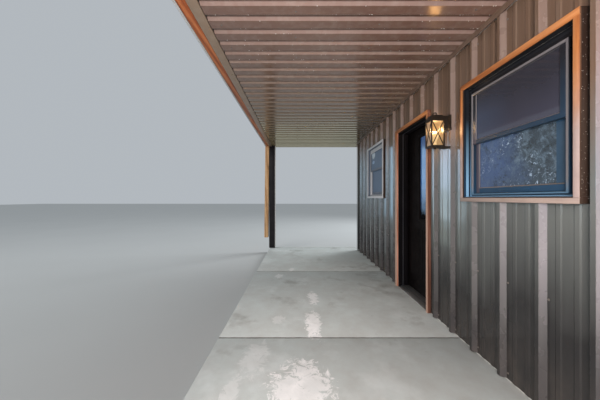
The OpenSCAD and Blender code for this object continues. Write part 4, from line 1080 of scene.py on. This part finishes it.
bm = bmesh.new()
for p in (R_P, RR_P, RL_P):
    window_trim(bm, p, -TRIM_D, -0.042, 0.0015, FACE_S, FACE_B, FACE_T)
sides(bm, 2)
finish_obj(bm, "window_trim_boards", [TR_X, TR_Z, TR_SIDE_SHADED], repl=("window_trim_wood",))
bm = bmesh.new()
for p in (R_P, RR_P, RL_P):
    window_trim(bm, p, -0.042, 0.003, 0.001)
for f in bm.faces:
    f.material_index = 0
for p in (R_P, RR_P, RL_P):
    # thin liner on the inner faces of the box; its raised middle band is painted pale blue low down as a sky reflection
    sweep_rect(bm, -WIN_W / 2 + TRIM_W - 0.0004, WIN_W / 2 - TRIM_W + 0.0004, TRIM_W - 0.0004, WIN_H - TRIM_W + 0.0004,
               [(0, -0.0405), (0.0008, -0.0405), (0.0008, -0.0245), (0.0022, -0.0240), (0.0022, -0.0040), (0.0008, -0.0036), (0.0008, 0.0015), (0, 0.0015)],
               p, 1, 1, 1, 1, 1, [1, 1, 2, 2, 2, 1, 1, 1])
finish_obj(bm, "dark_window_boxes", [BOX_M, DARK_F, SKY_F], repl=("window_boxes",))
bm = bmesh.new()
window_trim(bm, L_P, -TRIM_D, -0.042, 0.0015)
for f in bm.faces:
    f.material_index = 0
k = len(bm.faces)
window_trim(bm, L_P, -0.0418, 0.003, 0.001)
bm.faces.ensure_lookup_table()
for f in bm.faces[k:]:
    f.material_index = 1
sweep_rect(bm, -WIN_W / 2 + TRIM_W - 0.0004, WIN_W / 2 - TRIM_W + 0.0004, TRIM_W - 0.0004, WIN_H - TRIM_W + 0.0004,
           [(0, -0.0405), (0.0008, -0.0405), (0.0008, 0.0015), (0, 0.0015)], L_P, 1, 1, 1, 1, 2)
finish_obj(bm, "white_window_trim", [WHITE, BOX_M, WHITE_SASH_SHADED], repl=("window_trim_white",))
bm = bmesh.new()
for _ in range(80):
    tuft(bm, (WIN_R + WIN_W / 2, FRONT - 0.004 - 0.040 * rnd.random(), wz0 + 0.02 + (WIN_H - 0.05) * rnd.random() ** 1.3), (1, 0, 0), rnd.choice((0.0005, 0.0007, 0.0010, 0.0016)))
for _ in range(60):
    tuft(bm, (WIN_R + WIN_W / 2 - TRIM_W - 0.010 - 0.040 * rnd.random(), FRONT + 0.002, wz0 + 0.08 + (WIN_H - 0.16) * rnd.random()), (0, -1, 0), rnd.choice((0.0006, 0.0009, 0.0013)))
finish_obj(bm, "window_box_dust", DUST, smooth=60)

bm = bmesh.new()
for p in (R_P, RR_P, RL_P):
    window_frame(bm, p, 1, 2)
finish_obj(bm, "dark_window_frames", [DARK_F, LIP_SHEEN, SKY_F], repl=("window_frames_dark",))
bm = bmesh.new()
window_frame(bm, L_P, 0)
finish_obj(bm, "white_window_frame", [WHITE], repl=("window_frame_white",))
bm = bmesh.new()
for p in (R_P, RR_P, RL_P):
    window_sashes(bm, p, 1)
finish_obj(bm, "dark_window_sashes", [DARK_S, BEAD], repl=("window_sashes_dark",))
bm = bmesh.new()
window_sashes(bm, L_P, 0, RAIL_UP)
finish_obj(bm, "white_window_sashes", [WHITE_SASH_SHADED], repl=("window_sashes_white",))
bm = bmesh.new()
for p in (R_P, RR_P, RL_P):
    window_panes(bm, p)
window_panes(bm, L_P, 2, 2, RAIL_UP)
finish_obj(bm, "window_panes", [GLASS, GLASS_L, GLASS_W], repl=("window_glass",))

# ---------------------------------------------------------------- door surround
def door_place(x, y, z):
    return Vector((DOOR_X + x, FRONT + y, SLAB + z))


bm = bmesh.new()
W, H = DOOR_W / 2, DOOR_H
WL = W - DTRIM + DTRIM_L
boxp(bm, door_place, (-WL, -DTRIM_D, H - DTRIM), (W, 0.003, H), 0.002, 2, 0)
boxp(bm, door_place, (-WL, -DTRIM_D, 0), (-W + DTRIM, 0.003, H - DTRIM - 0.0005), 0.002, 2, 1)
boxp(bm, door_place, (W - DTRIM, -DTRIM_D, 0), (W, 0.003, H - DTRIM - 0.0005), 0.002, 2, 1)
sides(bm, 2)
# side faces of the near board take the darker copy: painted shade; the far board's keep the paler copy: painted light
for f in bm.faces:
    if f.material_index == 2 and f.calc_center_median().x > 0.2:
        f.material_index = 3
finish_obj(bm, "door_trim_boards", [TR_X, DT_Z, DOOR_SIDE_LIT, DOOR_SIDE_SHADED], repl=("door_trim",))
from_node("door_frame", "door_lining", JAMB_M, bev=0.0015)
bm = bmesh.new()
OX, OT = (DOOR_W - 2 * DTRIM) / 2 - JAMB, DOOR_H - DTRIM - JAMB
sweep_rect(bm, -OX - 0.0005, OX + 0.0005, 0.022, OT + 0.0005, [(0, 0.036), (0.0025, 0.0365), (0.0035, 0.039), (0.0025, 0.0415), (0, 0.042)],
           lambda x, y, z: door_place(x, y, z), 1, 1, 0.0001, 1, 0)
# the bead's pale paint is a painted highlight along the stop
finish_obj(bm, "door_lining_bead", SEAL)
from_node("door_threshold", "door_sill", ALU, bev=0.001)

# ---------------------------------------------------------------- door (moves)
OPEN_W = DOOR_W - 2 * DTRIM
LX0 = DOOR_X - OPEN_W / 2 + JAMB + 0.006
LW = OPEN_W - 2 * JAMB - 0.014
LZ0, LZ1 = SLAB + 0.032, SLAB + DOOR_H - DTRIM - JAMB - 0.006
LY = FRONT + 0.106
LITE_X, LITE_W, LITE_H, LITE_Z = 0.012, 0.240, 1.010, SLAB + 0.935
from_node("door_leaf", "door_leaf_panel", LEAF_M, bev=0.0015, body="door")
bm = bmesh.new()
for s, y in ((-1, LY), (1, LY + 0.044)):
    pr = [(0.0, 0.0), (0.0, 0.006), (0.10, 0.008), (0.55, 0.008), (0.80, 0.004), (1.0, -0.004), (1.0, -0.012), (0.6, -0.012), (0.6, 0.0)]
    sweep_rect(bm, LITE_X - LITE_W / 2 - 0.022, LITE_X + LITE_W / 2 + 0.022, LITE_Z - 0.022, LITE_Z + LITE_H + 0.022,
               [(d, -a) for d, a in pr], lambda x, yy, z: Vector((x, y - s * yy * -1 if s > 0 else y + yy, z)), 0.034, 0.034, 0.034, 0.034)
finish_obj(bm, "door_glass_frame", LEAF_M, "door")
lo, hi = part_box("door_glass")
bm = bmesh.new()
box(bm, lo, hi, 0.0005, 1)
SHEEN.objects.link(finish_obj(bm, "door_pane", GLASS_D, "door", repl=("door_glass",)))
from_node("door_handle", "door_levers", BRONZE, bev=0.002, seg=3, body="door")
from_node("door_hinges", "door_butts", HINGE, bev=0.0006, body="door")

# ---------------------------------------------------------------- lantern
from_node("lantern_frame", "lantern_cage", BRONZE, bev=0.0008)
lamp_panes = from_node("lantern_glass", "lantern_panes", [LGLASS, LGLASS_F], bev=0.0)
# the front faces take the paler copy of the glow: painted light
for f in lamp_panes.data.polygons:
    if f.normal.y < -0.85:
        f.material_index = 1
from_node("lantern_bulb", "lantern_lamp", BULB, bev=0.0, smooth=60)

glow = bpy.data.lights.new("lamp_glow", "POINT")
glow.energy = 16.0
glow.color = (1.0, 0.62, 0.28)
glow.shadow_soft_size = 0.03
go = bpy.data.objects.new("lamp_glow", glow)
scene.collection.objects.link(go)
go.location = (0.80, FRONT - 0.152, SLAB + 1.664 + 0.15)
GLEAM = bpy.data.collections.new("gleam_receivers")
GLEAM.objects.link(bpy.data.objects["porch_soffit_sheet"])
low_glow = area("soffit_sheen", (-5.6, -0.9, 1.95), (0.0, -0.9, 1.95), 6.2, 0.38 * math.pi * 6.2 * 1.1, (1.0, 0.98, 0.56), 1.1)
low_glow.visible_diffuse = False
low_glow.light_linking.receiver_collection = GLEAM
gleam = area("lamp_gleam", (0.80, FRONT - 0.152, 2.12), (1.6, -0.77, 2.566), 0.07, 0.22, (1.0, 0.50, 0.16))
gleam.visible_diffuse = False
gleam.light_linking.receiver_collection = GLEAM

# the two end lights fall on the cabin only
BODY = bpy.data.collections.new("body_receivers")
for o in scene.objects:
    if o.type == "MESH" and o != floor:
        BODY.objects.link(o)
far.light_linking.receiver_collection = BODY
near.light_linking.receiver_collection = BODY
